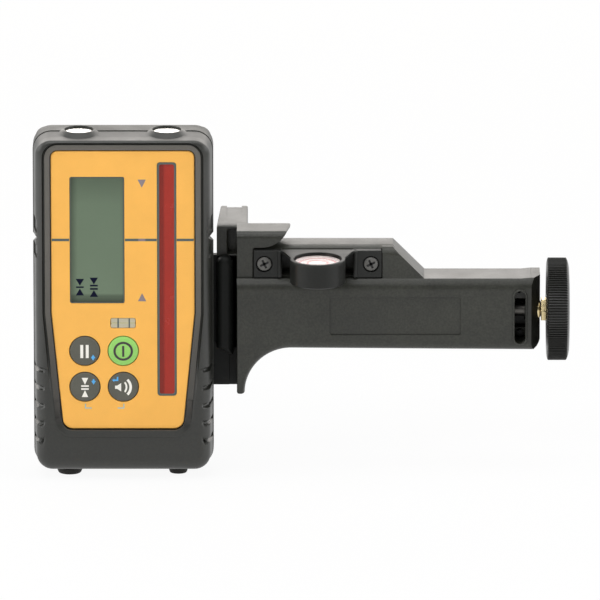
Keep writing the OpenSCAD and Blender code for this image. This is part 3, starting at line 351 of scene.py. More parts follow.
def multiplied(tree, a, b):
    """The product of two colours."""
    made = tree.nodes.new("ShaderNodeMix")
    made.data_type = "RGBA"
    made.blend_type = "MULTIPLY"
    made.inputs["Factor"].default_value = 1.0
    tree.links.new(a, made.inputs["A"])
    tree.links.new(b, made.inputs["B"])
    return made.outputs["Result"]


def finish_of(name, colour, rough=(0.4, 0.55), spread=0.12, patch=14.0, grain=0.25, grain_size=0.35,
              depth=0.03, fades=(), **sockets):
    """A procedural surface: colour in soft patches, fine grain, uneven gloss.

    A fade (axis, start, end, share) darkens the colour to a share at the start of a stretch along an axis.
    """
    look = bpy.data.materials.new(name)
    look.use_nodes = True
    tree = look.node_tree
    shader = tree.nodes["Principled BSDF"]
    for key, value in sockets.items():
        shader.inputs[key.replace("_", " ")].default_value = value
    base = linear(colour)
    place = tree.nodes.new("ShaderNodeTexCoord").outputs["Object"]
    broad = node(tree, "ShaderNodeTexNoise", Scale=1 / (patch * MM), Detail=4.0, Roughness=0.6)
    fine = node(tree, "ShaderNodeTexNoise", Scale=1 / (grain_size * MM), Detail=2.0, Roughness=0.55)
    tree.links.new(place, broad.inputs["Vector"])
    tree.links.new(place, fine.inputs["Vector"])
    tint = ramp(tree, broad.outputs["Fac"], shaded(base, 1 - spread), shaded(base, 1 + spread), 0.3, 0.7)
    speck = ramp(tree, fine.outputs["Fac"], grey(1 - spread), grey(1 + spread), 0.35, 0.65)
    mixed = multiplied(tree, tint, speck)
    for axis, start, end, share in fades:
        parts = tree.nodes.new("ShaderNodeSeparateXYZ")
        tree.links.new(place, parts.inputs[0])
        low, high, first, last = (start, end, share, 1.0) if start < end else (end, start, 1.0, share)
        fade = node(tree, "ShaderNodeMapRange", From_Min=low * MM, From_Max=high * MM, To_Min=first,
                    To_Max=last)
        tree.links.new(parts.outputs[axis], fade.inputs["Value"])
        mixed = multiplied(tree, mixed, fade.outputs["Result"])
    tree.links.new(mixed, shader.inputs["Base Color"])
    tree.links.new(ramp(tree, broad.outputs["Fac"], grey(rough[0]), grey(rough[1]), 0.3, 0.7),
                   shader.inputs["Roughness"])
    if grain:
        bump = node(tree, "ShaderNodeBump", Strength=grain, Distance=depth * MM)
        tree.links.new(fine.outputs["Fac"], bump.inputs["Height"])
        tree.links.new(bump.outputs["Normal"], shader.inputs["Normal"])
    return look


def ink(name, colour, spread=0.05):
    """A printed colour."""
    return finish_of(name, colour, rough=(0.5, 0.6), spread=spread, grain=0.1)


def dress(name, look, edge=0.0):
    """Gives a CAD node that stays a procedural material, and where an edge is given, its edges a small
    rounding.
    """
    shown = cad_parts[name]
    shown.data.materials.clear()
    shown.data.materials.append(look)
    for slot in shown.material_slots:
        slot.material = look
    if edge:
        rounding = shown.modifiers.new("rounding", "BEVEL")
        rounding.width = edge * MM
        rounding.segments = 3
        rounding.limit_method = "ANGLE"
        rounding.angle_limit = math.radians(40)
        rounding.harden_normals = False
        normals = shown.modifiers.new("normals", "WEIGHTED_NORMAL")
        normals.keep_sharp = True


display_low, display_high = span("display_pane")
detector_low, detector_high = span("detector_pane")
# The display's visible window runs a little past its pane, to the left and at the top.
display_low[0] -= 0.65
display_high[2] += 0.45
RUBBER = finish_of("rubber_armour", (32, 33, 28), rough=(0.38, 0.48), spread=0.15, grain=0.5, grain_size=0.8,
                   Specular_IOR_Level=0.7)
BACK_SHELL = finish_of("moulded_shell", (38, 39, 34), rough=(0.42, 0.54), grain=0.35, grain_size=0.5)
PANEL = finish_of("orange_panel", (246, 184, 88), rough=(0.42, 0.5), spread=0.03, grain=0.12,
                  grain_size=0.25, Specular_IOR_Level=0.3)
SLATE = ink("slate_print", (80, 92, 90), 0.06)
LILAC = ink("lilac_print", (134, 123, 128), 0.08)
WHITE_INK = ink("white_print", (240, 238, 230), 0.03)
CYAN_INK = ink("cyan_print", (84, 172, 232))
PALE_INK = ink("pale_cyan_print", (150, 186, 190))
DARK_INK = ink("dark_print", (62, 54, 58))
NAVY = finish_of("display_segments", (10, 14, 38), rough=(0.35, 0.45), spread=0.08, grain=0.05,
                 Specular_IOR_Level=0.1)
lcd_left, lcd_right, lcd_low, lcd_top = display_low[0], display_high[0], display_low[2], display_high[2]
# Painted shade: the display's colour darkens towards its left, top, right and lower edges, where its recess
# shades it.
LCD_PAINTED_SHADE = (("X", lcd_left, lcd_left + 3.2, 0.45), ("Z", lcd_top, lcd_top - 12.0, 0.72),
             ("Z", lcd_top, lcd_low, 0.86), ("Z", lcd_low + 3.0, lcd_low + 4.2, 0.55),
             ("X", lcd_right, lcd_right - 1.2, 0.75), ("Z", lcd_low + 0.4, lcd_low + 2.4, 0.5))
GLASS_LCD = finish_of("display_glass", (106, 123, 102), rough=(0.12, 0.2), spread=0.05, patch=30,
                      grain=0.05, fades=LCD_PAINTED_SHADE, Specular_IOR_Level=0.25)
# Painted shade: the red window's colour is darker over its left part and along its top edge.
RED_PAINTED_SHADE = (("X", detector_low[0] + 2.4, detector_low[0] + 3.3, 0.6),
             ("Z", detector_high[2], detector_high[2] - 2.2, 0.7))
RED_PANE = finish_of("red_window", (160, 44, 32), rough=(0.2, 0.3), spread=0.07, patch=10, grain=0.05,
                     fades=RED_PAINTED_SHADE, Specular_IOR_Level=0.3)
KEY_GREY = finish_of("key_grey_rubber", (92, 92, 84), rough=(0.55, 0.68), spread=0.07, grain=0.25,
                     Specular_IOR_Level=0.3)
KEY_GREEN = finish_of("key_green_rubber", (148, 208, 108), rough=(0.55, 0.68), spread=0.05, grain=0.2,
                      Specular_IOR_Level=0.3)
ARM = finish_of("arm_plastic", (45, 46, 40), rough=(0.35, 0.45), spread=0.2, grain=0.8, grain_size=0.9,
                depth=0.06)
# Painted shade: a darker copy of the arm's plastic for the plate, its pad and the rib, which sit in the
# shaded gap behind the arm.
ARM_PAINTED_SHADE = finish_of("arm_plastic_painted_shade", (24, 26, 24), rough=(0.5, 0.6), spread=0.14, grain=0.4, grain_size=0.6,
                     Specular_IOR_Level=0.3)
BEZEL = finish_of("bezel_grey", (94, 91, 85), rough=(0.4, 0.5), spread=0.06, grain=0.2,
                  fades=(("Z", -72.0, -10.0, 0.42), ("Z", -79.0, -72.0, 0.45)))
DARK_STEEL = finish_of("dark_steel", (110, 108, 104), rough=(0.36, 0.48), spread=0.08, patch=4, grain=0.15,
                       Metallic=1.0)
BRACKET = finish_of("bracket_plastic", (30, 31, 29), rough=(0.46, 0.56), spread=0.12, grain=0.3,
                    grain_size=0.7, Specular_IOR_Level=0.35)
CUP_GLOSS = finish_of("cup_gloss", (27, 28, 26), rough=(0.3, 0.4), spread=0.1, grain=0.1, grain_size=0.6,
                      Specular_IOR_Level=0.3)
SCREW_BLACK = finish_of("blackened_screw", (96, 95, 92), rough=(0.34, 0.46), spread=0.1, patch=4, grain=0.2)
KNOB = finish_of("knob_plastic", (42, 42, 40), rough=(0.26, 0.36), spread=0.12, grain=0.1,
                 Specular_IOR_Level=0.5)
FOOT = finish_of("foot_rubber", (40, 40, 37), rough=(0.6, 0.75), grain=0.3, Specular_IOR_Level=0.3)
STEEL = finish_of("plated_steel", (200, 199, 196), rough=(0.2, 0.34), spread=0.05, patch=4, grain=0.15,
                  grain_size=0.2, Metallic=1.0)
NICKEL = finish_of("magnet_nickel", (226, 225, 222), rough=(0.16, 0.28), spread=0.03, patch=5, grain=0.08,
                   Metallic=1.0)
BRASS = finish_of("brass", (222, 204, 158), rough=(0.2, 0.32), spread=0.06, patch=4, grain=0.03,
                  Metallic=1.0)
BOARD = finish_of("board_green", (44, 104, 66), rough=(0.4, 0.5), spread=0.12, patch=6, grain=0.2)
BLACK_PART = finish_of("black_part", (22, 22, 22), rough=(0.35, 0.5), spread=0.1, grain=0.2)
CELL = finish_of("cell_sleeve", (70, 84, 96), rough=(0.25, 0.4), spread=0.08, grain=0.1)
BEIGE = finish_of("tube_holder", (186, 180, 156), rough=(0.4, 0.5), spread=0.04, grain=0.15)
LEVEL_WHITE = finish_of("level_white", (214, 206, 205), rough=(0.35, 0.45), spread=0.02, grain=0.1)
LEVEL_PINK = finish_of("level_rings", (205, 150, 154), rough=(0.4, 0.5), spread=0.04, grain=0.1)
TUBE_GLASS = finish_of("tube_liquid", (190, 185, 148), rough=(0.08, 0.14), spread=0.05, grain=0.02)
BUBBLE = finish_of("level_bubble", (250, 246, 244), rough=(0.05, 0.1), spread=0.02, grain=0.02)
LENS = finish_of("level_lens", (250, 248, 247), rough=(0.03, 0.06), spread=0.01, grain=0.02,
                 Transmission_Weight=1.0, IOR=1.03)


# Receiver: the front housing is one skin of rings from the parting line to the pocket behind the panel.

shell_low, shell_high = span("front_housing")
panel_low, panel_high = span("face_panel")
rear_low, rear_high = span("rear_housing")
MID_X = (shell_low[0] + shell_high[0]) / 2
HALF_W = (shell_high[0] - shell_low[0]) / 2
RIM_RISE = 0.4
TOP_Z, LOW_Z = rear_high[2] - RIM_RISE, shell_low[2]
FRONT_Y, PANEL_Y, POCKET_Y, BACK_Y = shell_low[1], panel_low[1], panel_high[1], rear_high[1]
SPLIT_Y = -16.0
CORNER_R = 8.0
BUMPER_R, TOP_BUMPER_R = 5.0, 1.6
DRAFT = 1.2
BEND_Z = -32.0
PANEL_HALF = (panel_high[0] - panel_low[0]) / 2
PANEL_LOW_HALF = 25.2
PANEL_TOP_R, PANEL_LOW_R = 2.8, 4.2
NOTCH, NOTCH_HALF, NOTCH_SLOPE, NOTCH_Y = 2.0, 1.9, 0.21, -24.0
SLOT_Y, SLOT_Z, SLOT_IN = (-27.6, -17.0), ((2.5, 8.6), (-8.4, -2.6)), (2.9, 0.8)
GRIPS = [-56.6 - 7.8 * k for k in range(5)]
GRIP_D, GRIP_HALF = 1.2, 0.95

# Heights of the points down a side, close together at the notch and the grips. Those below FIT_Z are
# spread out to reach the lower corner.
SIDE_Z = ([33, 28, 22, 17, 13] + [11 - 0.35 * k for k in range(64)]
          + [-13, -17, -22, -27, -32, -37, -43, -49] + [-54 - 0.36 * k for k in range(107)])
FIT_Z = -66.0
TOP_COUNT, ARC_COUNT = 26, 9


def shell_ring(half, low_half, top, low, top_r, low_r, level):
    """Points round a housing ring: top, right corner, right side, low corners, left side."""
    corners = [(-half, top), (half, top), (half, BEND_Z), (low_half, low), (-low_half, low), (-half, BEND_Z)]
    arcs = fillet(corners, [top_r, top_r, 0, low_r, low_r, 0], ARC_COUNT)
    right_top, right_low = arcs[ARC_COUNT + 1:2 * ARC_COUNT + 2], arcs[2 * ARC_COUNT + 3:3 * ARC_COUNT + 4]
    (start_x, start_z), (end_x, end_z) = right_top[-1], right_low[0]
    side = []
    for z in SIDE_Z:
        share = min(max((FIT_Z - z) / (FIT_Z - SIDE_Z[-1] + 0.3), 0.0), 1.0)
        z = min(blend(FIT_Z, end_z, share) if z < FIT_Z else z, start_z - 0.1)
        if z > BEND_Z:
            side.append((blend(start_x, half, (start_z - z) / (start_z - BEND_Z)), z))
        else:
            side.append((blend(half, end_x, (BEND_Z - z) / (BEND_Z - end_z)), z))
    right = right_top + side + right_low
    left = [(-x, z) for x, z in right[::-1]]
    top_x, low_x, shares = right_top[0][0], right_low[-1][0], [k / TOP_COUNT for k in range(1, TOP_COUNT)]
    edge_top = [(blend(-top_x, top_x, share), top) for share in shares]
    edge_low = [(blend(low_x, -low_x, share), low) for share in shares]
    return [[x, level, z] for x, z in edge_top + right + edge_low + left]


def outer_ring(depth, level):
    """The housing's outline, moved in by a depth."""
    return shell_ring(HALF_W - depth, HALF_W - depth, TOP_Z - depth, LOW_Z + depth,
                      CORNER_R - depth, CORNER_R - depth, level)


def panel_ring(grow, level):
    """The panel's outline, grown."""
    return shell_ring(PANEL_HALF + grow, PANEL_LOW_HALF + grow, panel_high[2] + grow, panel_low[2] - grow,
                      PANEL_TOP_R + grow, PANEL_LOW_R + grow, level)


def depth_in(x, z):
    """How far a point lies inside the drafted outline."""
    half, top, low = HALF_W - DRAFT, TOP_Z - DRAFT, LOW_Z + DRAFT
    r = CORNER_R - DRAFT
    dx = abs(x) - (half - r)
    dz = max(z - (top - r), (low + r) - z)
    outside = math.hypot(max(dx, 0), max(dz, 0))
    return r - outside - min(max(dx, dz), 0)


def bumper_y(depth, radius):
    """Height of the bumper's rounding at a depth from the drafted outline."""
    reach = min(max(depth, 0), radius)
    return FRONT_Y + radius - math.sqrt(radius ** 2 - (radius - reach) ** 2)


def bumper_radius(z):
    """The bumper's rounding is tighter along the top."""
    return blend(BUMPER_R, TOP_BUMPER_R, smooth_step(z, TOP_Z - 10, TOP_Z - 2))


def side_relief(point):
    """Presses the grip grooves into a side."""
    x, y, z = point
    depth = max(depth_in(x, z), 0)
    cos_a = 1 - min(depth / BUMPER_R, 1.0)
    sin_a = math.sqrt(max(1 - cos_a * cos_a, 0))
    relief = 0.0
    if abs(x) > HALF_W - CORNER_R:
        for grip in GRIPS:
            across = abs(z - grip) / GRIP_HALF
            if across < 1:
                relief += GRIP_D * math.sqrt(1 - across * across) * (1 - smooth_step(depth, 2.4, 3.6))
    point[0] -= math.copysign(relief * cos_a, x)
    point[1] += relief * sin_a


# (grown by, level) of the rings that run from the bumper's crest through a groove and a bezel to the pocket.
LIP = 0.42
GROOVE = ((3.45, -28.7), (3.2, -28.5), (2.95, -28.55), (2.8, -28.75), (2.6, -28.95), (0.6, -29.0),
          (LIP, -28.85), (LIP, POCKET_Y))
FACET_Y = -28.75
CREST = 3.8
SEAM, STEP = 0.4, 0.3
GROOVE_FADE, BEZEL_FADE = (45.0, 70.0), (77.0, 84.0)


def groove_y(grow, level, z, crest):
    """Level of a groove ring: lower down the groove turns into a facet, and at the end that is gone too."""
    if level == POCKET_Y:
        return level
    facet = blend(FACET_Y, crest, (grow - LIP) / (CREST - LIP))
    level = blend(level, facet, smooth_step(-z, *GROOVE_FADE))
    return blend(level, FRONT_Y + (0.35 if grow < 0.5 else 0.1), smooth_step(-z, *BEZEL_FADE))


def housing_loft(rings):
    """A skin through rings that are drawn about the receiver's middle."""
    return loft([[(MID_X + x, y, z) for x, y, z in ring] for ring in rings])


def front_shell():
    """The front housing: side, bumper, groove and pocket."""
    rings = [outer_ring(1.0, SPLIT_Y), outer_ring(1.0, SPLIT_Y - SEAM),
             outer_ring(STEP + 0.2, SPLIT_Y - SEAM - 0.05)]
    for share in (0, 0.2, 0.4, 0.6, 0.75, 0.9):
        level = blend(SPLIT_Y - SEAM - 0.25, FRONT_Y + BUMPER_R, share)
        rings.append(outer_ring(blend(STEP, DRAFT, share), level))
    foot, crest = outer_ring(DRAFT, FRONT_Y + BUMPER_R), panel_ring(CREST, FRONT_Y)
    rise, flat = 12, 3
    reaches = [depth_in(x, z) for x, _, z in crest]
    radii = [bumper_radius(z) for _, _, z in foot]
    for k in range(rise + flat + 1):
        ring = []
        for a, b, reach, radius in zip(foot, crest, reaches, radii):
            if reach > radius:
                arc = radius * (1 - math.cos(math.pi / 2 * min(k / rise, 1)))
                share = blend(arc, reach, max(k - rise, 0) / flat) / reach
            else:
                angle = math.acos(1 - reach / radius) * k / (rise + flat)
                share = radius * (1 - math.cos(angle)) / reach
            x, z = blend(a[0], b[0], share), blend(a[2], b[2], share)
            ring.append([x, bumper_y(depth_in(x, z), radius), z])
        rings.append(ring)
    for ring in rings:
        for point in ring:
            side_relief(point)
    crest_y = [point[1] for point in rings[-1]]
    for grow, level in GROOVE:
        ring = panel_ring(grow, level)
        for point, high in zip(ring, crest_y):
            point[1] = groove_y(grow, level, point[2], high)
        rings.append(ring)
    return housing_loft(rings)


INNER_Y = -25.7
INNER_IN = 3.4
key_boxes = {name: span(name) for name in ("key_pause", "key_power", "key_precision", "key_sound")}


def key_centre(name):
    """x and z of a key's axis."""
    return middle(*key_boxes[name])[::2]


tube_low, tube_high = span("tube_level_block")
magnet_low, magnet_high = span("magnets")
KEY_R, KEY_HOLE_R = 6.3, 6.6
PANE_GAP = 0.1
DISPLAY_HOLE_R, DETECTOR_HOLE_R, TUBE_HOLE_R = 0.8, 1.3, 0.9
MAGNET_R, WELL_GAP, WELL_D = 5.7, 0.3, 2.2
BOSS_R, RIM_H = 9.4, 0.55
MAGNETS_X = (magnet_low[0] + MAGNET_R, magnet_high[0] - MAGNET_R)


def holes(low, high, mouth):
    """Cutters for the display, the red window, the tube level and the keys, between two levels."""
    panes = ((display_low, display_high, DISPLAY_HOLE_R), (detector_low, detector_high, DETECTOR_HOLE_R),
             (tube_low, tube_high, TUBE_HOLE_R))
    cutters = [prism(front_of(a, b, PANE_GAP), "Y", low, high, radius, (mouth, 0)) for a, b, radius in panes]
    return cutters + [bore(*key_centre(name), KEY_HOLE_R, low, high, (mouth, 0), 48) for name in key_boxes]


def boss():
    """The raised rims round the magnets, across both halves of the housing."""
    profile = [(BOSS_R - 0.5, TOP_Z - 6), (BOSS_R, TOP_Z - 5.5), (BOSS_R, TOP_Z - 1.2),
               (BOSS_R - 0.15, TOP_Z - 0.95), (MAGNET_R + 1.1, TOP_Z + RIM_H - 0.05),
               (MAGNET_R + 0.8, TOP_Z + RIM_H)]
    return [lathe(profile, "Z", (x, SPLIT_Y), 72) for x in MAGNETS_X]


def magnet_wells():
    return [bore(x, SPLIT_Y, MAGNET_R + WELL_GAP, TOP_Z - WELL_D, TOP_Z + RIM_H, (0, -0.3), 72, "Z")
            for x in MAGNETS_X]


def side_marks():
    """Cutters for the index notch, which falls to the back, and the two slots beside it, on both sides."""
    cutters = []
    half = NOTCH_HALF * (1 + OVER / NOTCH)
    for side in (-1, 1):
        edge, tip = MID_X + side * (HALF_W + OVER), MID_X + side * (HALF_W - NOTCH)
        rings = []
        for y in (FRONT_Y - OVER, BACK_Y + OVER):
            mid = -NOTCH_SLOPE * (y - NOTCH_Y)
            rings.append([(edge, y, mid - half), (tip, y, mid), (edge, y, mid + half)])
        cutters.append(loft(rings))
        floor_line = [(MID_X + side * (HALF_W - depth), y) for depth, y in zip(SLOT_IN, SLOT_Y)]
        outline = floor_line + [(edge, SLOT_Y[1]), (edge, SLOT_Y[0])]
        cutters += [sharp(outline, "Z", low, high) for low, high in SLOT_Z]
    return cutters


def half_space(low, high):
    """A block that takes away all of the housing between two levels."""
    outline = rect(MID_X - HALF_W - OVER, LOW_Z - OVER, MID_X + HALF_W + OVER, TOP_Z + 2 * OVER)
    return sharp(outline, "Y", low, high)


half_inner = HALF_W - INNER_IN
INNER_R = CORNER_R - INNER_IN
inner_outline = rect(MID_X - half_inner, LOW_Z + INNER_IN, MID_X + half_inner, TOP_Z - INNER_IN)
shell = cut(joined(front_shell(), *boss()), sharp(inner_outline, "Y", INNER_Y, SPLIT_Y + OVER, INNER_R),
            half_space(SPLIT_Y, SPLIT_Y + 2 * BOSS_R), *magnet_wells(), *side_marks(),
            *holes(POCKET_Y - OVER, INNER_Y + OVER, 0))
piece("front_shell", [shell], RUBBER, ("front_housing",))

# (grown by, level) of the grey bezel that lies on the shell round the panel.
BEZEL_RINGS = ((2.74, -28.4), (2.66, -28.95), (2.5, -29.02), (0.64, -29.02), (0.5, -28.95), (0.46, -28.4))
BEZEL_LIFT, BEZEL_END = 0.15, (78.0, 86.0)


def bezel_ring(grow, level):
    """A ring of the bezel, which follows the shell and sinks into it at its lower end."""
    ring = []
    for (x, _, z), (crest_x, _, crest_z) in zip(panel_ring(grow, level), panel_ring(CREST, FRONT_Y)):
        high = bumper_y(depth_in(crest_x, crest_z), bumper_radius(crest_z))
        y = groove_y(grow, level, z, high) - BEZEL_LIFT + smooth_step(-z, *BEZEL_END)
        ring.append((MID_X + x, y, z))
    return ring


bezel = loft([bezel_ring(*row) for row in BEZEL_RINGS], closed=True)
piece("bezel_strip", [bezel], BEZEL, ())

# Rear housing: the same outline with a rounded back, cavities, wells, grille and a recess for the door.
door_low, door_high = span("battery_door")
cells_low, cells_high = span("battery_cells")
screws_low, screws_high = span("housing_screws")
insert_low, insert_high = span("mount_insert")
BACK_R, BACK_WALL = 3.0, 2.2
DOOR_GAP, DOOR_T, TAB_HALF, TAB_H = 0.3, 2.0, 8.0, 9.0
DOOR_TOP = door_high[2] - TAB_H
DOOR_RADII = (2.0, 2.0, 2.0, 1.0, 2.0, 2.0, 1.0, 2.0)
TUB_WALL, TUB_GAP, TUB_END, TUB_FLOOR = 1.4, 0.3, 2.0, 0.7
LABEL_Z, LABEL_W, LABEL_H, LABEL_D = 32.0, 44.0, 14.0, 0.4
NAIL_DOWN, NAIL_W, NAIL_H, NAIL_D = 1.0, 12.0, 3.0, 1.2
SCREW_R, SCREW_BOSS_R, SCREW_WELL_R, SCREW_WELL_D = 2.3, 4.6, 2.6, 4.0
HOUSING_SCREWS = [(x, z) for x in (screws_low[0] + SCREW_R, screws_high[0] - SCREW_R)
                  for z in (screws_low[2] + SCREW_R, screws_high[2] - SCREW_R)]
INSERT = middle(insert_low, insert_high)[::2]
INSERT_R, INSERT_BOSS_R = (insert_high[0] - insert_low[0]) / 2 + 0.02, 7.0
LOCK, LOCK_R, LOCK_D = middle(*span("door_lock"))[::2], 3.7, 9.0
GRILLE_Z, GRILLE_R, GRILLE_HOLE_R = 18.0, 4.5, 0.8
grille = [(MID_X, GRILLE_Z)] + disc(MID_X, GRILLE_Z, GRILLE_R, 8)
tub = rect(cells_low[0] - TUB_END, cells_low[2] - TUB_GAP, cells_high[0] + TUB_END, cells_high[2] + TUB_GAP)
tub_block = prism(inset(tub, -TUB_WALL), "Y", rear_low[1], BACK_Y - BACK_WALL, 0.8, (0.4, 0))


def door_outline(gap):
    """The battery door with its lock tab, grown by a gap."""
    left, right, low = door_low[0] - gap, door_high[0] + gap, door_low[2] - gap
    tab_left, tab_right = MID_X - TAB_HALF - gap, MID_X + TAB_HALF + gap
    shoulder, top = DOOR_TOP + gap, door_high[2] + gap
    return [(left, low), (right, low), (right, shoulder), (tab_right, shoulder), (tab_right, top),
            (tab_left, top), (tab_left, shoulder), (left, shoulder)]


rear = housing_loft([outer_ring(depth, level)
                     for level, depth in rounded_levels(SPLIT_Y, BACK_Y, (0.2, BACK_R), 6)])
rear = cut(joined(rear, *boss()), half_space(SPLIT_Y - 2 * BOSS_R, SPLIT_Y), *magnet_wells(), *side_marks(),
           prism(inner_outline, "Y", SPLIT_Y - OVER, BACK_Y - BACK_WALL, INNER_R, (0, 0.6)))
rear = cut(joined(rear, tub_block),
           sharp(tub, "Y", rear_low[1] + TUB_FLOOR, BACK_Y + OVER, 0.6),
           prism(door_outline(DOOR_GAP), "Y", BACK_Y - DOOR_T, BACK_Y, DOOR_RADII, (0, -0.25)),
           prism(oblong(MID_X, LABEL_Z, LABEL_W, LABEL_H), "Y", BACK_Y - LABEL_D, BACK_Y, 2.0, (0, -0.2)),
           prism(oblong(MID_X, door_low[2] - NAIL_DOWN, NAIL_W, NAIL_H), "Y", BACK_Y - NAIL_D, BACK_Y, 1.2,
                 (0, -0.3)))
rear = joined(rear, *[bore(*screw, SCREW_BOSS_R, SPLIT_Y + 0.2, BACK_Y - OVER) for screw in HOUSING_SCREWS],
              bore(*INSERT, INSERT_BOSS_R, SPLIT_Y + 3.0, BACK_Y - OVER))
rear = cut(rear,
           *[bore(*screw, SCREW_WELL_R, BACK_Y - SCREW_WELL_D, BACK_Y, (0, -0.3))
             for screw in HOUSING_SCREWS],
           *[bore(*hole, GRILLE_HOLE_R, BACK_Y - 2 * BACK_WALL, BACK_Y, (0, -0.15), 20) for hole in grille],
           bore(*INSERT, INSERT_R, SPLIT_Y, BACK_Y, (0, -0.25)),
           bore(*LOCK, LOCK_R, BACK_Y - LOCK_D, BACK_Y))
piece("rear_shell", [rear], BACK_SHELL, ("rear_housing",))

PANEL_BEND_R = 30
panel_points = [(MID_X + x, z) for x, z in (
    (-PANEL_LOW_HALF, panel_low[2]), (PANEL_LOW_HALF, panel_low[2]), (PANEL_HALF, BEND_Z),
    (PANEL_HALF, panel_high[2]), (-PANEL_HALF, panel_high[2]), (-PANEL_HALF, BEND_Z))]
panel_radii = (PANEL_LOW_R, PANEL_LOW_R, PANEL_BEND_R, PANEL_TOP_R, PANEL_TOP_R, PANEL_BEND_R)
panel = prism(panel_points, "Y", PANEL_Y, POCKET_Y, panel_radii, (0.45, 0.1), 8, 4)
panel = cut(panel, *holes(PANEL_Y, POCKET_Y + OVER, -0.15))
piece("orange_face", [panel], PANEL, ("face_panel",))

LCD_Y, LCD_R, LCD_BORDER = display_low[1], 0.7, 0.4
RED_Y, RED_R, RED_BORDER = detector_low[1], 1.2, 0.85
lcd = prism(front_of(display_low, display_high), "Y", LCD_Y, display_high[1], LCD_R, (0.1, 0.1))
piece("lcd_pane", [lcd], GLASS_LCD, ("display_pane",))
red = prism(front_of(detector_low, detector_high), "Y", RED_Y, detector_high[1], RED_R, (0.15, 0.1))
piece("red_pane", [red], RED_PANE, ("detector_pane",))
PRINT_T, PRINT_SINK, ARROW_SINK = 0.04, 0.02, 0.02


def prints(name, outlines, level, look, body=ROOT):
    """Thin raised prints on a face that looks to the front."""
    solids = [sharp(outline, "Y", level - PRINT_T, level + PRINT_SINK) for outline in outlines]
    piece(name, solids, look, (), body)


def frame_band(low, high, width, radius, level):
    """A thin printed frame inside a pane's outline."""
    outer = sharp(front_of(low, high), "Y", level - PRINT_T, level + PRINT_SINK, radius)
    inner_radius = max(radius - width * 0.4, 0.1)
    inner = sharp(front_of(low, high, -width), "Y", level - OVER, level + OVER, inner_radius)
    return cut(outer, inner)


red_band = frame_band(detector_low, detector_high, RED_BORDER, RED_R, RED_Y)
piece("red_pane_border", [red_band], SLATE, ())
lcd_band = frame_band(display_low, display_high, LCD_BORDER, LCD_R, LCD_Y)
piece("lcd_border", [lcd_band], SLATE, ())
GRADE = 1.1
MARK_X, MARK_HALF, MARK_H, MARK_TOP, MARK_LOW, MARK_BAR = -44.35, 1.75, 3.5, 26.2, -26.7, 1.5
panel_edge = PANEL_HALF - 0.3


def grade_bar(left, right):
    """A stretch of the on-grade line."""
    return rect(left, -GRADE / 2, right, GRADE / 2)


def triangle(x, z, half, height):
    """A level edge at z and a tip above or below it."""
    return [(x - half, z), (x + half, z), (x, z + height)]


def hourglass(x, z, half, height, bar_half, bars, gap, thick):
    """Two triangles, tip to tip, with one or two bars between them."""
    outlines = [triangle(x, z + gap + height, half, -height), triangle(x, z - gap - height, half, height)]
    return outlines + [oblong(x, z + b, 2 * bar_half, thick) for b in bars]


prints("grade_line", [grade_bar(MID_X - panel_edge, display_low[0] - 0.3),
                      grade_bar(display_high[0] + 0.3, MARK_X - MARK_BAR),
                      grade_bar(MARK_X + MARK_BAR, detector_low[0] - 0.2),
                      grade_bar(detector_high[0] + 0.2, MID_X + panel_edge)], PANEL_Y, SLATE)
prints("grade_marks", [triangle(MARK_X, MARK_TOP, MARK_HALF, -MARK_H),
                       triangle(MARK_X, MARK_LOW, MARK_HALF, MARK_H),
                       grade_bar(MARK_X - MARK_BAR, MARK_X + MARK_BAR)], PANEL_Y, LILAC)
prints("lcd_marks", hourglass(display_low[0] + 4.1, -20.7, 1.75, 2.95, 1.6, (0.0,), 0.65, 0.65)
       + hourglass(display_low[0] + 10.0, -20.75, 1.75, 2.95, 1.65, (0.72, -0.72), 1.25, 0.7),
       LCD_Y, NAVY)


def key(name, look, slot):
    """A round key with a soft edge, and a flange behind the front wall."""
    low, high = key_boxes[name]
    x, z = key_centre(name)
    face = low[1]
    rim = (high[0] - low[0]) / 2
    profile = [(1.5, face), (4.4, face + 0.02), (5.5, face + 0.07), (6.0, face + 0.18), (6.22, face + 0.36),
               (KEY_R, face + 0.6), (KEY_R, INNER_Y + 0.3), (rim, INNER_Y + 0.3), (rim, high[1] - 0.1),
               (rim - 0.1, high[1])]
    piece(name + "_cap", [lathe(profile, "Y", (x, z), 72)], look, (name,), name)
    return x, z, face


def small_arrow(x, z, way):
    """An arrow with its tip at a point and its tail above it, or below it where way is -1."""
    half = ((0.95, 1.5), (0.4, 1.7), (0.3, 2.4))
    return [(x, z)] + [(x + a, z + way * b) for a, b in half] + [(x - a, z + way * b) for a, b in half[::-1]]


def key_bracket(name, x, z, left, right):
    """A printed bracket below a key: a post and a foot that runs to one side."""
    prints(name, [rect(x - 0.05, z - 9.5, x + 0.4, z - 7.4), rect(x + left, z - 9.5, x + right, z - 9.05)],
           PANEL_Y, PALE_INK)


x, z, KEY_Y = key("key_pause", KEY_GREY, "key_grey")
prints("pause_icon", [rect(x - 1.9, z - 3.0, x - 0.65, z + 2.75),
                      rect(x + 0.4, z - 3.0, x + 1.65, z + 2.75)], KEY_Y, WHITE_INK, "key_pause")
prints("pause_arrow", [small_arrow(x + 3.5, z - 1.5, -1)], KEY_Y + ARROW_SINK, CYAN_INK, "key_pause")
x, z, KEY_Y = key("key_power", KEY_GREEN, "key_green")
prints("power_icon", [rect(x - 0.46, z - 2.45, x + 0.46, z + 2.3),
                      arc_band(x, z, 3.65, 0.95, 0, 180, 32), arc_band(x, z, 3.65, 0.95, 180, 360, 32)],
       KEY_Y, DARK_INK, "key_power")
x, z, KEY_Y = key("key_precision", KEY_GREY, "key_grey")
prints("precision_icon", hourglass(x, z - 0.15, 1.38, 3.0, 1.6, (0.62, -0.68), 1.2, 0.68), KEY_Y, WHITE_INK,
       "key_precision")
prints("precision_arrow", [small_arrow(x + 3.65, z + 1.1, 1)], KEY_Y + ARROW_SINK, CYAN_INK, "key_precision")
key_bracket("key_bracket_left", x, z, 0.4, 2.8)
x, z, KEY_Y = key("key_sound", KEY_GREY, "key_grey")
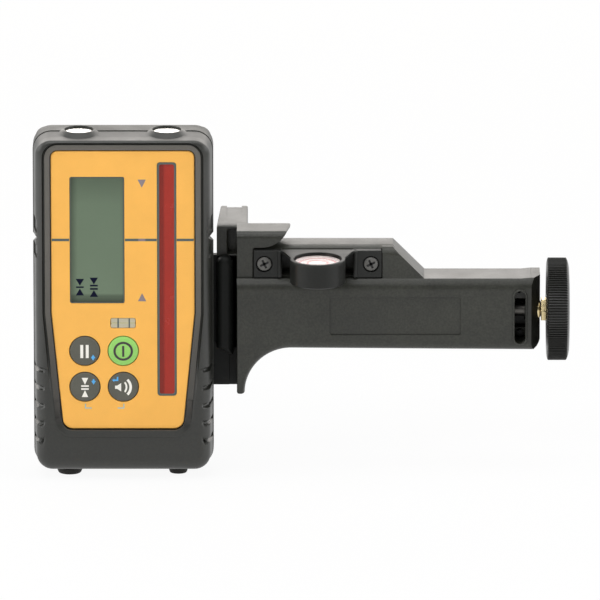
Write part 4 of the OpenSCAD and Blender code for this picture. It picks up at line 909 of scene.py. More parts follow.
prints("sound_icon", [rect(x - 3.5, z - 0.75, x - 2.6, z + 0.65),
                      [(x - 2.6, z - 0.75), (x - 0.9, z - 1.9), (x - 0.9, z + 1.8), (x - 2.6, z + 0.65)],
                      arc_band(x - 1.92, z, 3.25, 0.75, -40, 40), arc_band(x - 1.41, z, 4.5, 1.1, -46, 46)],
       KEY_Y, WHITE_INK, "key_sound")
prints("sound_arrow", [rect(x - 2.75, z + 2.7, x - 2.1, z + 4.5), rect(x - 3.8, z + 2.7, x - 2.75, z + 3.35),
                       [(x - 4.7, z + 3.02), (x - 3.8, z + 2.25), (x - 3.8, z + 3.8)]],
       KEY_Y + ARROW_SINK, CYAN_INK, "key_sound")
key_bracket("key_bracket_right", x, z, -2.4, -0.05)

# Tube level: a block with a lens-shaped trough for its vial.
TUBE_X, _, TUBE_Z = middle(tube_low, tube_high)
vial_low, vial_high = span("tube_level_vial")
VIAL_R, vial_y = (vial_high[2] - vial_low[2]) / 2, middle(vial_low, vial_high)[1]
TUBE_LINES, LINE_HALF = (-2.1, 2.6), 0.3
block = prism(front_of(tube_low, tube_high), "Y", tube_low[1], tube_high[1], 0.8, (0.2, 0.1))
trough = bore(vial_y, TUBE_Z, VIAL_R + 0.05, vial_low[0] - OVER, vial_high[0] + OVER, (0, 0), 32, "X")
piece("tube_block", [cut(block, trough)], BEIGE, ("tube_level_block",))
vial = lathe(bevelled(VIAL_R, vial_low[0], vial_high[0]), "X", (vial_y, TUBE_Z), 40)
piece("tube_vial", [vial], TUBE_GLASS, ("tube_level_vial",))
line_low, line_high = tube_low[2] + 0.1, tube_high[2] - 0.1
prints("tube_lines", [rect(TUBE_X + s - LINE_HALF, line_low, TUBE_X + s + LINE_HALF, line_high)
                      for s in TUBE_LINES], tube_low[1], SLATE)

MAGNET_Z = TOP_Z + RIM_H - 0.75
magnet = [(MAGNET_R, magnet_low[2]), (MAGNET_R, MAGNET_Z - 0.35), (MAGNET_R - 0.12, MAGNET_Z - 0.1),
          (MAGNET_R - 0.4, MAGNET_Z)]
piece("magnet_discs", [lathe(magnet, "Z", (x, SPLIT_Y), 72) for x in MAGNETS_X], NICKEL, ("magnets",))


def foot(name):
    """A rubber foot that narrows downwards."""
    low, high = span(name)
    r, h = (high[0] - low[0]) / 2, high[2] - low[2]
    profile = [(r - 0.2, high[2]), (r, high[2] - 0.2), (r - 0.15, high[2] - 0.3 * h),
               (r * 0.88, low[2] + 0.5), (r * 0.85, low[2] + 0.2), (r * 0.82, low[2])]
    piece(name + "_rubber", [lathe(profile, "Z", middle(low, high)[:2], 56)], FOOT, (name,))


foot("left_foot")
foot("right_foot")

# Holder frame: solids that run into each other, each with its own rounded edges.
holder_low, holder_high = span("holder_frame")
ARM_L, ARM_R = -4.5, holder_high[0]
ARM_TOP, ARM_LOW, ARM_FRONT = -19.8, -50.2, -19.5
ARM_TOP_R, ARM_TOP_RUN, ARM_LOW_R, ARM_FALL, ARM_EDGE_R = 6.5, 2.3, 3.4, 0.7, 0.5
LEG_R, LEG_T, LEG_LOW = 19.6, 3.3, holder_low[2]
LEG_X, LEG_STEPS, LEG_SWEEP, LEG_THIN = ARM_L + LEG_T + LEG_R, 28, 0.985, 0.75
PLATE_T = 4.0
RAISED_Y = -13.5
LEAD_Y, LEAD_Z = -9.75, -35.0
LEAD_AXIS = ("X", (LEAD_Y, LEAD_Z))
FLARE, FLARE_RUN = 0.4, 4.0


def round_in(radius, depth):
    """How far a rounded edge stands back at a depth behind the front."""
    if depth >= radius:
        return 0.0
    return radius - math.sqrt(radius ** 2 - (radius - depth) ** 2)


def broken_round(radius, run, depth):
    """A rounded front edge that ends in a crease on the top, a run behind the front."""
    return max(round_in(radius, depth) - round_in(radius, run), 0.0) if depth < run else 0.0


def arm_ring(level):
    """The arm and leg seen from the front, at a level between front and back."""
    depth, back = level - ARM_FRONT, round_in(ARM_EDGE_R, -level)
    top = max(broken_round(ARM_TOP_R, ARM_TOP_RUN, depth), back)
    low, side = max(round_in(ARM_LOW_R, depth), back), max(round_in(ARM_EDGE_R, depth), back)
    points = [(ARM_L + side, ARM_TOP - top), (ARM_R - FLARE_RUN, ARM_TOP - top),
              (ARM_R, ARM_TOP - top + FLARE), (ARM_R, ARM_LOW + low - ARM_FALL)]
    for k in range(LEG_STEPS + 1):
        angle = math.pi / 2 * (1 + LEG_SWEEP * k / LEG_STEPS)
        reach = LEG_R + low * (1 - LEG_THIN * k / LEG_STEPS)
        points.append((LEG_X + reach * math.cos(angle), LEG_LOW + reach * math.sin(angle)))
    left, right, toe = ARM_L + side, points[-1][0], LEG_LOW + side
    points += [(right, toe + 0.8), (right - 0.3, toe + 0.2), (right - 0.9, toe),
               (left + 0.9, toe), (left + 0.3, toe + 0.2), (left, toe + 0.8)]
    return at_level(points, level)


ROLL_STEPS = (0, 0.05, 0.18, 0.4, 0.7, 1.1, 1.6, ARM_TOP_RUN)
arm_levels = [ARM_FRONT + d for d in ROLL_STEPS + (3.4, 4.4)] + [-0.5, -0.25, -0.08, 0.0]
arm = loft([arm_ring(level) for level in arm_levels])
CAVITY_IN, CAVITY_L = 2.5, 2.0
JAW_SLOT_X, JAW_SLOT_HALF = (8.0, 103.7), 7
WINDOW_X, WINDOW_Z, WINDOW_W, WINDOW_H, RIM_W, RIM_T = ARM_R - 4.6, -36.1, 4.6, 22.9, 0.7, 0.7
NAME_X, NAME_W, NAME_Z, NAME_H, NAME_D = 34.7, 55.4, -43.9, 16.4, 0.7
cap_screw_low, cap_screw_high = span("end_cap_screws")
CAP_SCREW_R, CAP_SCREW_D = 2.3, 1.4
CAP_SCREW_X = middle(cap_screw_low, cap_screw_high)[0]
CAP_SCREWS_Z = (cap_screw_low[2] + CAP_SCREW_R, cap_screw_high[2] - CAP_SCREW_R)
rim = prism(oblong(WINDOW_X, WINDOW_Z, WINDOW_W + 2 * RIM_W, WINDOW_H + 2 * RIM_W), "Y", ARM_FRONT - RIM_T,
            ARM_FRONT + OVER, (WINDOW_W + 2 * RIM_W) / 2 - 0.01, (0.4, 0), 14, 5)
arm = cut(joined(arm, rim),
          sharp(rect(ARM_FRONT + CAVITY_IN, ARM_LOW + CAVITY_IN, -CAVITY_IN, ARM_TOP - CAVITY_IN), "X",
                CAVITY_L, ARM_R + OVER, 0.4),
          prism(rect(JAW_SLOT_X[0], LEAD_Z - JAW_SLOT_HALF, JAW_SLOT_X[1], LEAD_Z + JAW_SLOT_HALF), "Y",
                -CAVITY_IN - OVER, 0.0, 0.6, (0, -0.3)),
          prism(oblong(WINDOW_X, WINDOW_Z, WINDOW_W, WINDOW_H), "Y", ARM_FRONT - RIM_T,
                ARM_FRONT + CAVITY_IN + OVER, WINDOW_W / 2 - 0.01, (-0.2, 0), 14),
          prism(rect(NAME_X, NAME_Z, NAME_X + NAME_W, NAME_Z + NAME_H), "Y", ARM_FRONT, ARM_FRONT + NAME_D,
                0.8, (-0.2, 0)),
          *[bore(CAP_SCREW_X, z, CAP_SCREW_R + 0.1, -CAP_SCREW_D, 0.0, (0, -0.2)) for z in CAP_SCREWS_Z])

RAISED_TOP, RAISED_R, RAISED_RUN, RAISED_DROP = -6.5, 61.4, 2.5, 1.1
raised_low, raised_left = ARM_TOP - 2.0, ARM_L + 0.5
slope_foot = RAISED_R + RAISED_TOP - raised_low


def raised_ring(level):
    """The raised body behind the bracket: its top falls to the front, and its right end to the arm."""
    front = RAISED_DROP * max(1 - (level - RAISED_Y) / RAISED_RUN, 0.0)
    lip = max(front, round_in(0.4, -0.05 - level))
    top = RAISED_TOP - lip
    return at_level([(raised_left, raised_low), (slope_foot, raised_low), (RAISED_R + lip, top),
                     (raised_left, top)], level)


LIP_STEPS = (0, 0.02, 0.06, 0.13, 0.24, 0.38, 0.56, 0.77, 1.0)
VOID, VOID_BACK = (13.6, -19.2, 45.6, -8.3), -4.0
raised = loft([raised_ring(level) for level in (RAISED_Y, RAISED_Y + RAISED_RUN, -0.45, -0.3, -0.15, -0.05)])
raised = cut(raised, sharp(rect(*VOID), "Y", RAISED_Y - OVER, VOID_BACK, 0.5))
BLOCK_Y, BLOCK_L, BLOCK_LIP, BLOCK_R, BLOCK_SIDE_R = -17.2, 56.9, 2.8, 3.6, 0.35


def block_ring(level):
    """The block at the right of the bracket: a top with a rounded lip and a slope down to the arm."""
    depth = level - BLOCK_Y
    lip, side = broken_round(BLOCK_R, BLOCK_LIP, depth), round_in(BLOCK_SIDE_R, depth)
    top = RAISED_TOP - lip
    return at_level([(BLOCK_L + side, raised_low), (slope_foot - side, raised_low),
                     (RAISED_R + lip - side, top), (BLOCK_L + side, top)], level)


block = loft([block_ring(BLOCK_Y + BLOCK_LIP * share) for share in LIP_STEPS] + [block_ring(RAISED_Y + 0.5)])
BEAK_Y, BEAK_LIP, BEAK_R, BEAK_X, BEAK_Z, BEAK_TOP_R = -16.0, 2.2, 12.3, 6.55, 5.6, 3.4
WALL_R, WALL_LOW = 2.3, -20.8
BEAK_TIPS, BEAK_STEPS = (-0.8, 0.8), 16


def beak_ring(level):
    """The index beak and the wall below it at a level: a flat top, a pointed nose and a round belly."""
    lip = max(broken_round(BEAK_TOP_R, BEAK_LIP, level - BEAK_Y), round_in(0.6, -level))
    side = max(round_in(0.35, level - BEAK_Y), 0.02)
    shift = blend(*BEAK_TIPS, smooth_step(level, BEAK_Y, -3.0))
    first, belly = -math.asin((BEAK_Z + lip + 0.45) / BEAK_R), BEAK_Z - BEAK_R
    angles = [blend(first, -math.pi / 2, k / BEAK_STEPS) for k in range(BEAK_STEPS + 1)]
    arc = [(BEAK_X + shift + BEAK_R * math.cos(a), BEAK_Z + BEAK_R * math.sin(a)) for a in angles]
    nose = arc[0][0]
    points = [(ARM_L + side, -lip), (nose - 1.0, -lip), (nose - 0.3, -lip - 0.08),
              (nose - 0.08, -lip - 0.22)]
    points += arc + [(WALL_R + 0.6, belly - 0.03), (WALL_R + 0.1 - side, belly - 0.5),
                     (WALL_R - side, WALL_LOW), (ARM_L + side, WALL_LOW)]
    return at_level(points, level)


beak = loft([beak_ring(BEAK_Y + BEAK_LIP * share) for share in LIP_STEPS]
            + [beak_ring(level) for level in (-10.0, -6.0, -3.0, -0.6, -0.3, -0.1, -0.03)])

JAW_L, JAW_R, JAW_BACK, JAW_LOW, JAW_WALL = -13.1, 0.0, 30.0, -54.0, 2.6
JAW_TAPER, JAW_LIP, JAW_LIP_Y = 1.6, 0.9, 1.2
JAW_LEVELS = (-4.0, -3.97, -3.9, -3.75, -3.5, -3.0, -2.2, -1.2, 0.0, JAW_LIP_Y, 28.5, 28.8, 29.2, 29.6, 29.9,
              30.0)
JAW_RADII = (2.0, 2.0, 0.7, 0.7)


def jaw_ring(level):
    """The fixed jaw at a level: it narrows to the back, and its top rounds down at the front."""
    edge = max(round_in(0.5, level + PLATE_T), round_in(1.5, JAW_BACK - level))
    left = JAW_L + JAW_TAPER * (level + PLATE_T) / (JAW_BACK + PLATE_T)
    run = min(max((JAW_LIP_Y - level) / (JAW_LIP_Y + PLATE_T), 0.0), 1.0)
    lip = max(JAW_LIP * (1 - math.sqrt(1 - run * run)), edge)
    outline = rect(left + edge, JAW_LOW + edge, JAW_R - edge, -lip)
    return at_level(fillet(outline, JAW_RADII, 5), level)


jaw_trough = [(4.0, 0.02), (JAW_BACK + OVER, -0.95), (JAW_BACK + OVER, OVER), (4.0, OVER)]
jaw = cut(loft([jaw_ring(level) for level in JAW_LEVELS]),
          sharp(jaw_trough, "X", JAW_L + JAW_TAPER + JAW_WALL, JAW_R - JAW_WALL),
          prism(rect(-8.2, -12.6, ARM_L + 0.2, -2.0), "Y", -PLATE_T, 2.0, 0.8, (-0.9, 0), 5, 5))
THUMB_X, THUMB_Z, THUMB_HOLE_R, RING_HOLE_R, RING_HOLE_D = -52.4, -38.0, 3.3, 5.3, 1.4
PLATE_R, PLATE_L, PLATE_TOP, PLATE_END = 15.0, -22.0, -13.0, ARM_L + LEG_T - 0.6
tongue = [(THUMB_X + PLATE_R * math.cos(math.radians(a)), THUMB_Z + PLATE_R * math.sin(math.radians(a)))
          for a in range(90, 271, 6)]
plate_points = [(PLATE_END, LEG_LOW), (PLATE_END, PLATE_TOP), (PLATE_L, PLATE_TOP),
                (PLATE_L, THUMB_Z + PLATE_R)]
plate_points += tongue + [(PLATE_L, THUMB_Z - PLATE_R), (PLATE_L, LEG_LOW)]
plate_radii = [0, 0, 2.0, 1.5] + [0] * len(tongue) + [1.5, 2.0]
plate = cut(prism(plate_points, "Y", -PLATE_T, 0.0, plate_radii, (0.35, 0.5), 4, 3),
            bore(THUMB_X, THUMB_Z, THUMB_HOLE_R, -PLATE_T - OVER, 0.0, (0, -0.3)),
            bore(THUMB_X, THUMB_Z, RING_HOLE_R, -PLATE_T - OVER, -PLATE_T + RING_HOLE_D))
plate_pad = prism(rect(PLATE_L + 1.0, LEG_LOW + 0.1, -7.6, -51.0), "Y", -PLATE_T - 0.5, -PLATE_T + 0.5, 0.4,
                  (0.2, 0))
rib = prism([(-13.2, -52.7), (-6.0, -56.3), (-6.0, -12.9), (-13.2, -12.9)], "Y", -9.5, -3.5,
            (1.0, 0.8, 3.4, 3.4), (2.6, 0), 8, 7)
piece("holder_body", [arm, raised, block, beak, jaw], ARM, ("holder_frame",))
# The plate, its pad and the rib take the darker arm plastic, painted shade of the gap they sit in.
piece("holder_plate", [plate, plate_pad, rib], ARM_PAINTED_SHADE, ())


def lead_bore(radius, low, high):
    """A cutter along the lead screw's axis."""
    return bore(LEAD_Y, LEAD_Z, radius, low, high, (0, 0), 48, "X")


# Arm's right end: bevelled cap, bush, nut, ribbed knob and threaded lead screw.
CAP_R = span("end_cap")[1][0]
CHAMFER_X, CHAMFER_Y, CHAMFER_Z, LOW_CUT_X = 0.2, -12.0, 3.4, 0.6
cap_low, cap_top = ARM_LOW - ARM_FALL, ARM_TOP + FLARE
roll = [(ARM_FRONT + d, cap_top - broken_round(ARM_TOP_R, ARM_TOP_RUN, d)) for d in ROLL_STEPS[::-1]]
arm_section = [(ARM_FRONT, cap_low), (0.0, cap_low), (0.0, cap_top)] + roll
cap = prism(arm_section, "X", ARM_R + 0.05, CAP_R, [ARM_LOW_R, 0.6, 0.6] + [0] * len(roll), (0, 0), 9, 3)
front_cut = sharp([(ARM_R + CHAMFER_X, ARM_FRONT), (CAP_R + OVER, CHAMFER_Y + OVER * 2),
                   (CAP_R + OVER, ARM_FRONT - OVER), (ARM_R + CHAMFER_X, ARM_FRONT - OVER)], "Z",
                  cap_low - OVER, ARM_TOP + 2 * OVER)
low_cut = sharp([(ARM_R + LOW_CUT_X, cap_low), (CAP_R - 1.3, cap_low + 1.0), (CAP_R - 0.4, cap_low + 2.2),
                 (CAP_R, cap_low + CHAMFER_Z), (CAP_R + OVER, cap_low + CHAMFER_Z),
                 (CAP_R + OVER, cap_low - OVER), (ARM_R + LOW_CUT_X, cap_low - OVER)], "Y",
                ARM_FRONT - OVER, OVER)
cap = cut(cap, front_cut, low_cut, lead_bore(4.5, ARM_R - OVER, CAP_R + OVER))
TONGUE_L = ARM_R - 9.0
upper_tongue = prism(rect(-14.4, -29.3, -2.6, -22.4), "X", TONGUE_L, ARM_R + 0.5, 0.3, (0.2, 0))
upper_tongue = cut(upper_tongue, bore(WINDOW_X - 0.3, -26.2, 0.75, -15.5, -13.1, (0, 0), 24))
lower_tongue = prism(rect(-7.0, -47.6, -2.6, -43.8), "X", TONGUE_L, ARM_R + 0.5, 0.3, (0.2, 0))
piece("end_cap_shell", [cap, upper_tongue, lower_tongue], ARM, ("end_cap",))
bush_low, bush_high = span("end_bush")
bush = lathe([(4.45, bush_low[0]), (4.45, CAP_R - 0.3), (4.2, CAP_R - 0.05), (3.5, CAP_R),
              (3.4, bush_high[0])], *LEAD_AXIS, 56)
bush = cut(bush, lead_bore(3.1, bush_low[0] - OVER, bush_high[0] + OVER))
piece("bush_ring", [bush], BRASS, ("end_bush",))
nut_low, nut_high = span("jam_nut")
NUT_R = (nut_high[2] - nut_low[2]) / 2 / math.cos(math.pi / 6)
nut = prism(disc(LEAD_Y, LEAD_Z, NUT_R, 6), "X", nut_low[0], nut_high[0], 0.5, (0.25, 0.25), 3, 3)
nut = cut(nut, lead_bore(3.0, nut_low[0] - OVER, nut_high[0] + OVER))
piece("hex_nut", [nut], BRASS, ("jam_nut",), "clamp_screw")
knob_low, knob_high = span("clamp_knob")
KNOB_L, KNOB_R = knob_low[0], knob_high[0]
KNOB_RAD = (knob_high[2] - knob_low[2]) / 2
RIDGES, RIDGE_D, RIDGE_POINTS = 120, 0.95, 8


def ridge(angle, level):
    """Height of the knob's ridges, which fade out at the lip and the shoulder."""
    start = smooth_step(level, KNOB_L + 0.2, KNOB_L + 0.5)
    end = smooth_step(level, KNOB_R - 1.7, KNOB_R - 1.4)
    turn = abs((RIDGES * angle / (2 * math.pi)) % 1.0 - 0.5) * 2
    return -RIDGE_D * (start * (1 - end)) * smooth_step(turn, 0.2, 0.5)


# The knob's section: (radius, way from the left face) of its hub and hollow, (depth below the rim, way from
# the left face) of the left lip, and (depth below the rim, way from the right face) of the shoulder.
KNOB_HUB = ((5.9, 0.05), (6.0, 0.15), (6.0, 2.6), (15.6, 2.6), (15.7, 0.3), (16.0, 0))
KNOB_LIP = ((2.0, 0), (1.4, 0.08), (1.0, 0.22), (0.3, 0.45), (0, 0.6), (0, 2.5), (0, 5.0))
KNOB_SHOULDER = ((0, 2.0), (0.1, 1.75), (0.5, 1.5), (1.2, 1.2), (2.2, 0.85), (3.8, 0.55), (6.0, 0.45),
                 (6.4, 0.6), (6.6, 0.9), (KNOB_RAD - 2.0, 0.9))
knob_profile = [(r, KNOB_L + d) for r, d in KNOB_HUB] + [(KNOB_RAD - s, KNOB_L + d) for s, d in KNOB_LIP]
knob_profile += [(KNOB_RAD - s, KNOB_R - d) for s, d in KNOB_SHOULDER]
knob = lathe(knob_profile, *LEAD_AXIS, RIDGES * RIDGE_POINTS, ridge)
knob = cut(knob, lead_bore(3.02, KNOB_L - OVER, KNOB_L + 6.0))
piece("ribbed_knob", [knob], KNOB, ("clamp_knob",), "clamp_screw", 40)
lead_low, lead_high = span("lead_screw")
PITCH, THREAD_D, LEAD_R, THREAD_END, LEAD_RINGS = 1.0, 0.28, 3.0, 106.0, 6


def thread(angle, level):
    """A screw thread cut into a rod."""
    turn = (level / PITCH - angle / (2 * math.pi)) % 1.0
    share = 1 - smooth_step(level, THREAD_END, THREAD_END + 1.0)
    return -THREAD_D * share * smooth_step(abs(turn - 0.5) * 2, 0.25, 0.95)


lead_count = int((lead_high[0] - lead_low[0]) * LEAD_RINGS)
lead_rings = [(LEAD_R, blend(lead_low[0], lead_high[0], k / lead_count)) for k in range(lead_count + 1)]
lead_rod = lathe(lead_rings, *LEAD_AXIS, 28, thread)
piece("threaded_rod", [lead_rod], DARK_STEEL, ("lead_screw",), "clamp_screw", 60)

# Round level in its bracket.
ear_low, ear_high = span("level_bracket")
level_screw_low, level_screw_high = span("level_screws")
BRACKET_TOP, EAR_LOW, EAR_FRONT, EAR_W = ear_high[2], ear_low[2], -17.5, 12.0
CUP_X, CUP_Y, CUP_R, CUP_H, CUP_BORE, CUP_D = 29.6, -30.2, 11.7, 10.6, 10.1, 9.3
CUP_AXIS = ("Z", (CUP_X, CUP_Y))
EAR_SCREW_R, EAR_SCREW_IN, SEAT_GAP, SEAT_D = 3.0, 4.5, 0.5, 1.8
EARS_X = (ear_low[0] + EAR_SCREW_IN, ear_high[0] - EAR_SCREW_IN)
EAR_SCREW_Z = BRACKET_TOP - (BRACKET_TOP - EAR_LOW) / 2
BEAD_R, BEAD_IN, BEAD_DOWN = 1.0, 1.0, 0.1


def mirrored(points):
    """An outline seen from above, on the other side of the cup."""
    return [(2 * CUP_X - x, y) for x, y in points]


def ear(side):
    """An ear plate with a round inner edge and a seat for its screw."""
    back, inner = RAISED_Y - 0.02, ear_low[0] + EAR_W
    outline = [(ear_low[0], back), (ear_low[0], EAR_FRONT), (inner, EAR_FRONT), (inner, back)]
    bead_at = [(inner - BEAD_IN, EAR_FRONT + 0.35)]
    if side == 1:
        outline, bead_at = mirrored(outline), mirrored(bead_at)
    plate = prism(outline, "Z", EAR_LOW, BRACKET_TOP, (0.1, 0.4, 2.0, 0.1), (0.4, 0.4), 6, 3)
    bead = lathe(bevelled(BEAD_R, EAR_LOW + BEAD_DOWN, BRACKET_TOP - BEAD_DOWN), "Z", bead_at[0], 24)
    seat = bore(EARS_X[side], EAR_SCREW_Z, EAR_SCREW_R + SEAT_GAP, EAR_FRONT, EAR_FRONT + SEAT_D, (-0.25, 0),
                56)
    return cut(joined(plate, bead), seat)


def cup_bore(radius, low, high, mouth=(0, 0), count=96):
    """A cutter along the round level's axis."""
    return bore(CUP_X, CUP_Y, radius, low, high, mouth, count, "Z")


def level_well():
    return cup_bore(CUP_BORE, BRACKET_TOP - CUP_D, BRACKET_TOP, (0, -0.25))


FLANGE_T, NECK_HALF = 1.2, 9.6
flange_low = BRACKET_TOP - FLANGE_T
ear_end = ear_low[0] + EAR_W
flange_left = [(ear_end - 1.5, EAR_FRONT + 2.5), (ear_end - 1.5, EAR_FRONT + 0.3),
               (ear_end + 0.1, EAR_FRONT - 0.1), (CUP_X - CUP_R + 0.9, CUP_Y - 0.4)]
flange = prism(flange_left + mirrored(flange_left)[::-1], "Z", flange_low, BRACKET_TOP,
               (0, 0.3, 4.0, 0.2, 0.2, 4.0, 0.3, 0), (0.3, 0.3), 6, 3)
neck = prism(rect(CUP_X - NECK_HALF, CUP_Y, CUP_X + NECK_HALF, -4.4), "Z", BRACKET_TOP - CUP_H, flange_low,
             0.6, (0.5, 0), 4, 3)
ring_plate = prism(disc(CUP_X, CUP_Y, CUP_R, 96), "Z", flange_low, BRACKET_TOP, 0, (0, 0.45), 4, 4)
cup = lathe([(CUP_R - 0.5, BRACKET_TOP - CUP_H), (CUP_R, BRACKET_TOP - CUP_H + 0.5), (CUP_R, flange_low)],
            *CUP_AXIS, 96)
flange = cut(joined(flange, ring_plate), level_well())
piece("level_arm", [ear(0), ear(1), flange], BRACKET, ("level_bracket",))
piece("level_socket", [cut(joined(cup, neck), level_well())], CUP_GLOSS, ())
CROSS_TURN, CROSS_W, CROSS_L, CROSS_D = math.radians(25), 1.0, 4.0, 1.3


def cross(x, z, length, width, low, high):
    """The two arms of a cross recess along Y."""
    cos_a, sin_a = math.cos(CROSS_TURN), math.sin(CROSS_TURN)
    arms = []
    for size in ((length, width), (width, length)):
        outline = [(x + a * cos_a - b * sin_a, z + a * sin_a + b * cos_a) for a, b in oblong(0, 0, *size)]
        arms.append(sharp(outline, "Y", low, high, 0.3, 3))
    return arms


def cross_screw(x, y, z, radius, shank, length):
    """A pan head along Y with a cross recess, and its shank."""
    head = lathe([(radius * 0.35, y + 0.02), (radius * 0.75, y + 0.12), (radius * 0.95, y + 0.45),
                  (radius, y + 0.8), (radius, y + 1.5), (shank, y + 1.55), (shank, y + length - 0.4),
                  (shank * 0.7, y + length)], "Y", (x, z), 40)
    return cut(head, *cross(x, z, CROSS_L, CROSS_W, y - OVER, y + CROSS_D))


screw_y, screw_l = level_screw_low[1], level_screw_high[1] - level_screw_low[1]
piece("ear_screws", [cross_screw(x, screw_y, EAR_SCREW_Z, EAR_SCREW_R, 1.5, screw_l) for x in EARS_X],
      SCREW_BLACK, ("level_screws",))
# Painted shade: a black fill at the bottom of each screw's cross recess.
recess = [cross(x, EAR_SCREW_Z, CROSS_L + 0.1, CROSS_W + 0.1, screw_y + 0.55, screw_y + CROSS_D)
          for x in EARS_X]
piece("ear_screw_painted_shade", recess[0] + recess[1], BLACK_PART, ())
case_low, case_high = span("level_case")
CASE_R = (case_high[0] - case_low[0]) / 2
lens_low, lens_high = span("level_lens")
LENS_R, LENS_SINK = (lens_high[0] - lens_low[0]) / 2, 0.9
DIAL_Z, RING_HALF = lens_low[2] - 0.6, 0.42
case = cut(lathe(bevelled(CASE_R, case_low[2], case_high[2]), *CUP_AXIS, 80),
           cup_bore(LENS_R + 0.05, DIAL_Z, case_high[2] + OVER, (0, 0), 80))
piece("level_cup", [case], LEVEL_WHITE, ("level_case", "level_liquid"))


def dial_ring(radius):
    """A printed ring on the level's dial."""
    return cut(cup_bore(radius + RING_HALF, DIAL_Z - 0.02, DIAL_Z + 0.05, (0, 0), 64),
               cup_bore(radius - RING_HALF, DIAL_Z - OVER, DIAL_Z + OVER, (0, 0), 64))


piece("level_rings", [dial_ring(0.45 * LENS_R), dial_ring(0.8 * LENS_R)], LEVEL_PINK, ())
bubble = lathe([(2.2, DIAL_Z + 0.02), (2.35, DIAL_Z + 0.12), (2.2, DIAL_Z + 0.28), (1.6, DIAL_Z + 0.42),
                (0.7, DIAL_Z + 0.48)], *CUP_AXIS, 48)
piece("level_bubble", [bubble], BUBBLE, ())
lens_top = lens_high[2] - LENS_SINK
lens = lathe([(LENS_R, lens_low[2]), (LENS_R, lens_top - 0.3), (LENS_R - 0.2, lens_top - 0.12),
              (LENS_R - 1.2, lens_top - 0.04), (1.0, lens_top)], *CUP_AXIS, 80)
piece("level_glass", [lens], LENS, ("level_lens",))

# CAD nodes that stay as they are, each with its own surface, and edge rounding where an edge is given.
KEPT = (("battery_door", BACK_SHELL, 0.3), ("door_lock", BLACK_PART, 0.25), ("moving_jaw", ARM, 0.5),
        ("thumb_screw", KNOB, 0.4), ("housing_screws", STEEL, 0.2), ("end_cap_screws", BLACK_PART, 0.2),
        ("jaw_nut", BRASS, 0.2), ("mount_insert", BRASS, 0.15), ("housing_seal", FOOT, 0),
        ("display_module", BLACK_PART, 0), ("photodiodes", BLACK_PART, 0), ("main_board", BOARD, 0),
        ("board_screws", STEEL, 0), ("dome_switches", STEEL, 0), ("buzzer", BLACK_PART, 0),
        ("battery_cells", CELL, 0), ("battery_contacts", STEEL, 0), ("door_seal", FOOT, 0),
        ("thrust_washer", BLACK_PART, 0), ("retaining_clip", BLACK_PART, 0), ("thumb_screw_ring", STEEL, 0))
for row in KEPT:
    dress(*row)

# Stage: pale floor, white surroundings, soft lamps and the photograph's camera.
FLOOR_Z, FLOOR_HALF, FLOOR_GREY, FLOOR_GLOW = cad_box[0][2] - 0.0001, 6.0, 0.9, 0.92


def ray_is(tree, names):
    """1 for rays of the named kinds, else 0."""
    path = tree.nodes.new("ShaderNodeLightPath")
    total = path.outputs[names[0]]
    for name in names[1:]:
        most = tree.nodes.new("ShaderNodeMath")
        most.operation = "MAXIMUM"
        tree.links.new(total, most.inputs[0])
        tree.links.new(path.outputs[name], most.inputs[1])
        total = most.outputs[0]
    return total


def floor():
    """A pale floor: mostly a plain white as seen, with the object's shadow in the rest."""
    mesh = bpy.data.meshes.new("floor")
    corners = rect(-FLOOR_HALF, -FLOOR_HALF, FLOOR_HALF, FLOOR_HALF)
    mesh.from_pydata([(x, y, FLOOR_Z) for x, y in corners], [], [(0, 1, 2, 3)])
    made = bpy.data.objects.new("floor", mesh)
    bpy.context.scene.collection.objects.link(made)
    look = bpy.data.materials.new("floor")
    look.use_nodes = True
    tree = look.node_tree
    tree.nodes.remove(tree.nodes["Principled BSDF"])
    glow = node(tree, "ShaderNodeEmission", Color=grey(1.0), Strength=1.0)
    matte = node(tree, "ShaderNodeBsdfDiffuse", Color=grey(FLOOR_GREY))
    mix = tree.nodes.new("ShaderNodeMixShader")
    share = tree.nodes.new("ShaderNodeMath")
    share.operation = "MULTIPLY"
    share.inputs[1].default_value = FLOOR_GLOW
    tree.links.new(ray_is(tree, ("Is Camera Ray", "Is Glossy Ray", "Is Transmission Ray")), share.inputs[0])
    tree.links.new(share.outputs[0], mix.inputs["Fac"])
    tree.links.new(matte.outputs[0], mix.inputs[1])
    tree.links.new(glow.outputs[0], mix.inputs[2])
    tree.links.new(mix.outputs[0], tree.nodes["Material Output"].inputs["Surface"])
    mesh.materials.append(look)


def mixed_by(tree, factor, a, b):
    """Colour a where the factor is 0 and b where it is 1; each is a grey level or a socket."""
    made = tree.nodes.new("ShaderNodeMix")
    made.data_type = "RGBA"
    tree.links.new(factor, made.inputs["Factor"])
    for name, value in (("A", a), ("B", b)):
        if isinstance(value, float):
            made.inputs[name].default_value = grey(value)
        else:
            tree.links.new(value, made.inputs[name])
    return made.outputs["Result"]


AMBIENT = 0.32
FRONT_GLOSS = 0.12


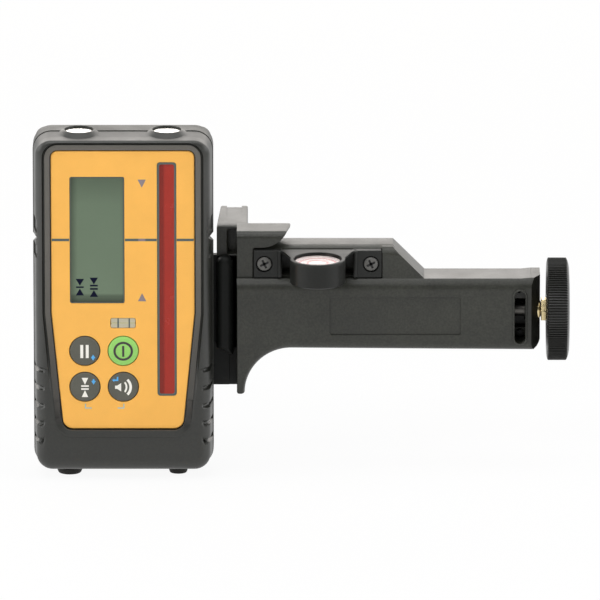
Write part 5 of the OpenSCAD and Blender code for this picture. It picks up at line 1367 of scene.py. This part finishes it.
def surroundings():
    """White as seen and through glass, in gloss darker on the camera's side, and calmer as a light."""
    world = bpy.data.worlds.new("studio")
    bpy.context.scene.world = world
    world.use_nodes = True
    tree = world.node_tree
    way = tree.nodes.new("ShaderNodeSeparateXYZ")
    tree.links.new(tree.nodes.new("ShaderNodeTexCoord").outputs["Generated"], way.inputs[0])
    behind = node(tree, "ShaderNodeMapRange", From_Min=-1.0, From_Max=1.0)
    tree.links.new(way.outputs["Y"], behind.inputs["Value"])
    gloss = ramp(tree, behind.outputs["Result"], grey(FRONT_GLOSS), grey(1.0), 0.2, 0.46)
    lit = mixed_by(tree, ray_is(tree, ("Is Glossy Ray",)), AMBIENT, gloss)
    seen = mixed_by(tree, ray_is(tree, ("Is Camera Ray", "Is Transmission Ray")), lit, 1.0)
    tree.links.new(seen, tree.nodes["Background"].inputs["Color"])


AIM = (0, 0, -0.03)
PLAIN, WARM = (1.0, 1.0, 1.0), (1.0, 0.94, 0.88)
LAMPS = (("key", (-0.25, -0.8, 0.85), (0.5, 0.3), 3.0, PLAIN),
         ("top", (0.0, -0.15, 0.95), (1.0, 0.45), 3.0, PLAIN),
         ("back", (0.0, 1.3, 0.52), (2.0, 0.7), 9.5, WARM),
         ("left", (-1.0, -0.25, 0.3), (1.4, 0.8), 7.0, PLAIN),
         ("right", (1.0, -0.25, 0.3), (1.4, 0.8), 6.3, PLAIN))
SENSOR, FOCAL_PX, PICTURE_PX, FAR = 36.0, 11868, 600, 50.0
CAMERA_AT, CAMERA_TILT = (22.17, -4858.13, 1267.93), 75.0


def lamp(name, place, size, power, tint):
    """A soft lamp that looks at the object."""
    data = bpy.data.lights.new(name, "AREA")
    data.shape = "RECTANGLE"
    data.size, data.size_y = size
    data.energy = power
    data.color = tint
    made = bpy.data.objects.new(name, data)
    made.location = place
    made.rotation_euler = (Vector(AIM) - Vector(place)).to_track_quat("-Z", "Y").to_euler()
    bpy.context.scene.collection.objects.link(made)


def camera():
    """The photograph's view: from far in front and 15 degrees above."""
    data = bpy.data.cameras.new("camera")
    data.sensor_width = SENSOR
    data.lens = SENSOR * FOCAL_PX / PICTURE_PX
    data.clip_end = FAR
    made = bpy.data.objects.new("camera", data)
    made.location = [value * MM for value in CAMERA_AT]
    made.rotation_euler = (math.radians(CAMERA_TILT), 0, 0)
    bpy.context.scene.collection.objects.link(made)
    bpy.context.scene.camera = made


floor()
surroundings()
for row in LAMPS:
    lamp(*row)
camera()
bpy.context.scene.view_settings.view_transform = "Standard"
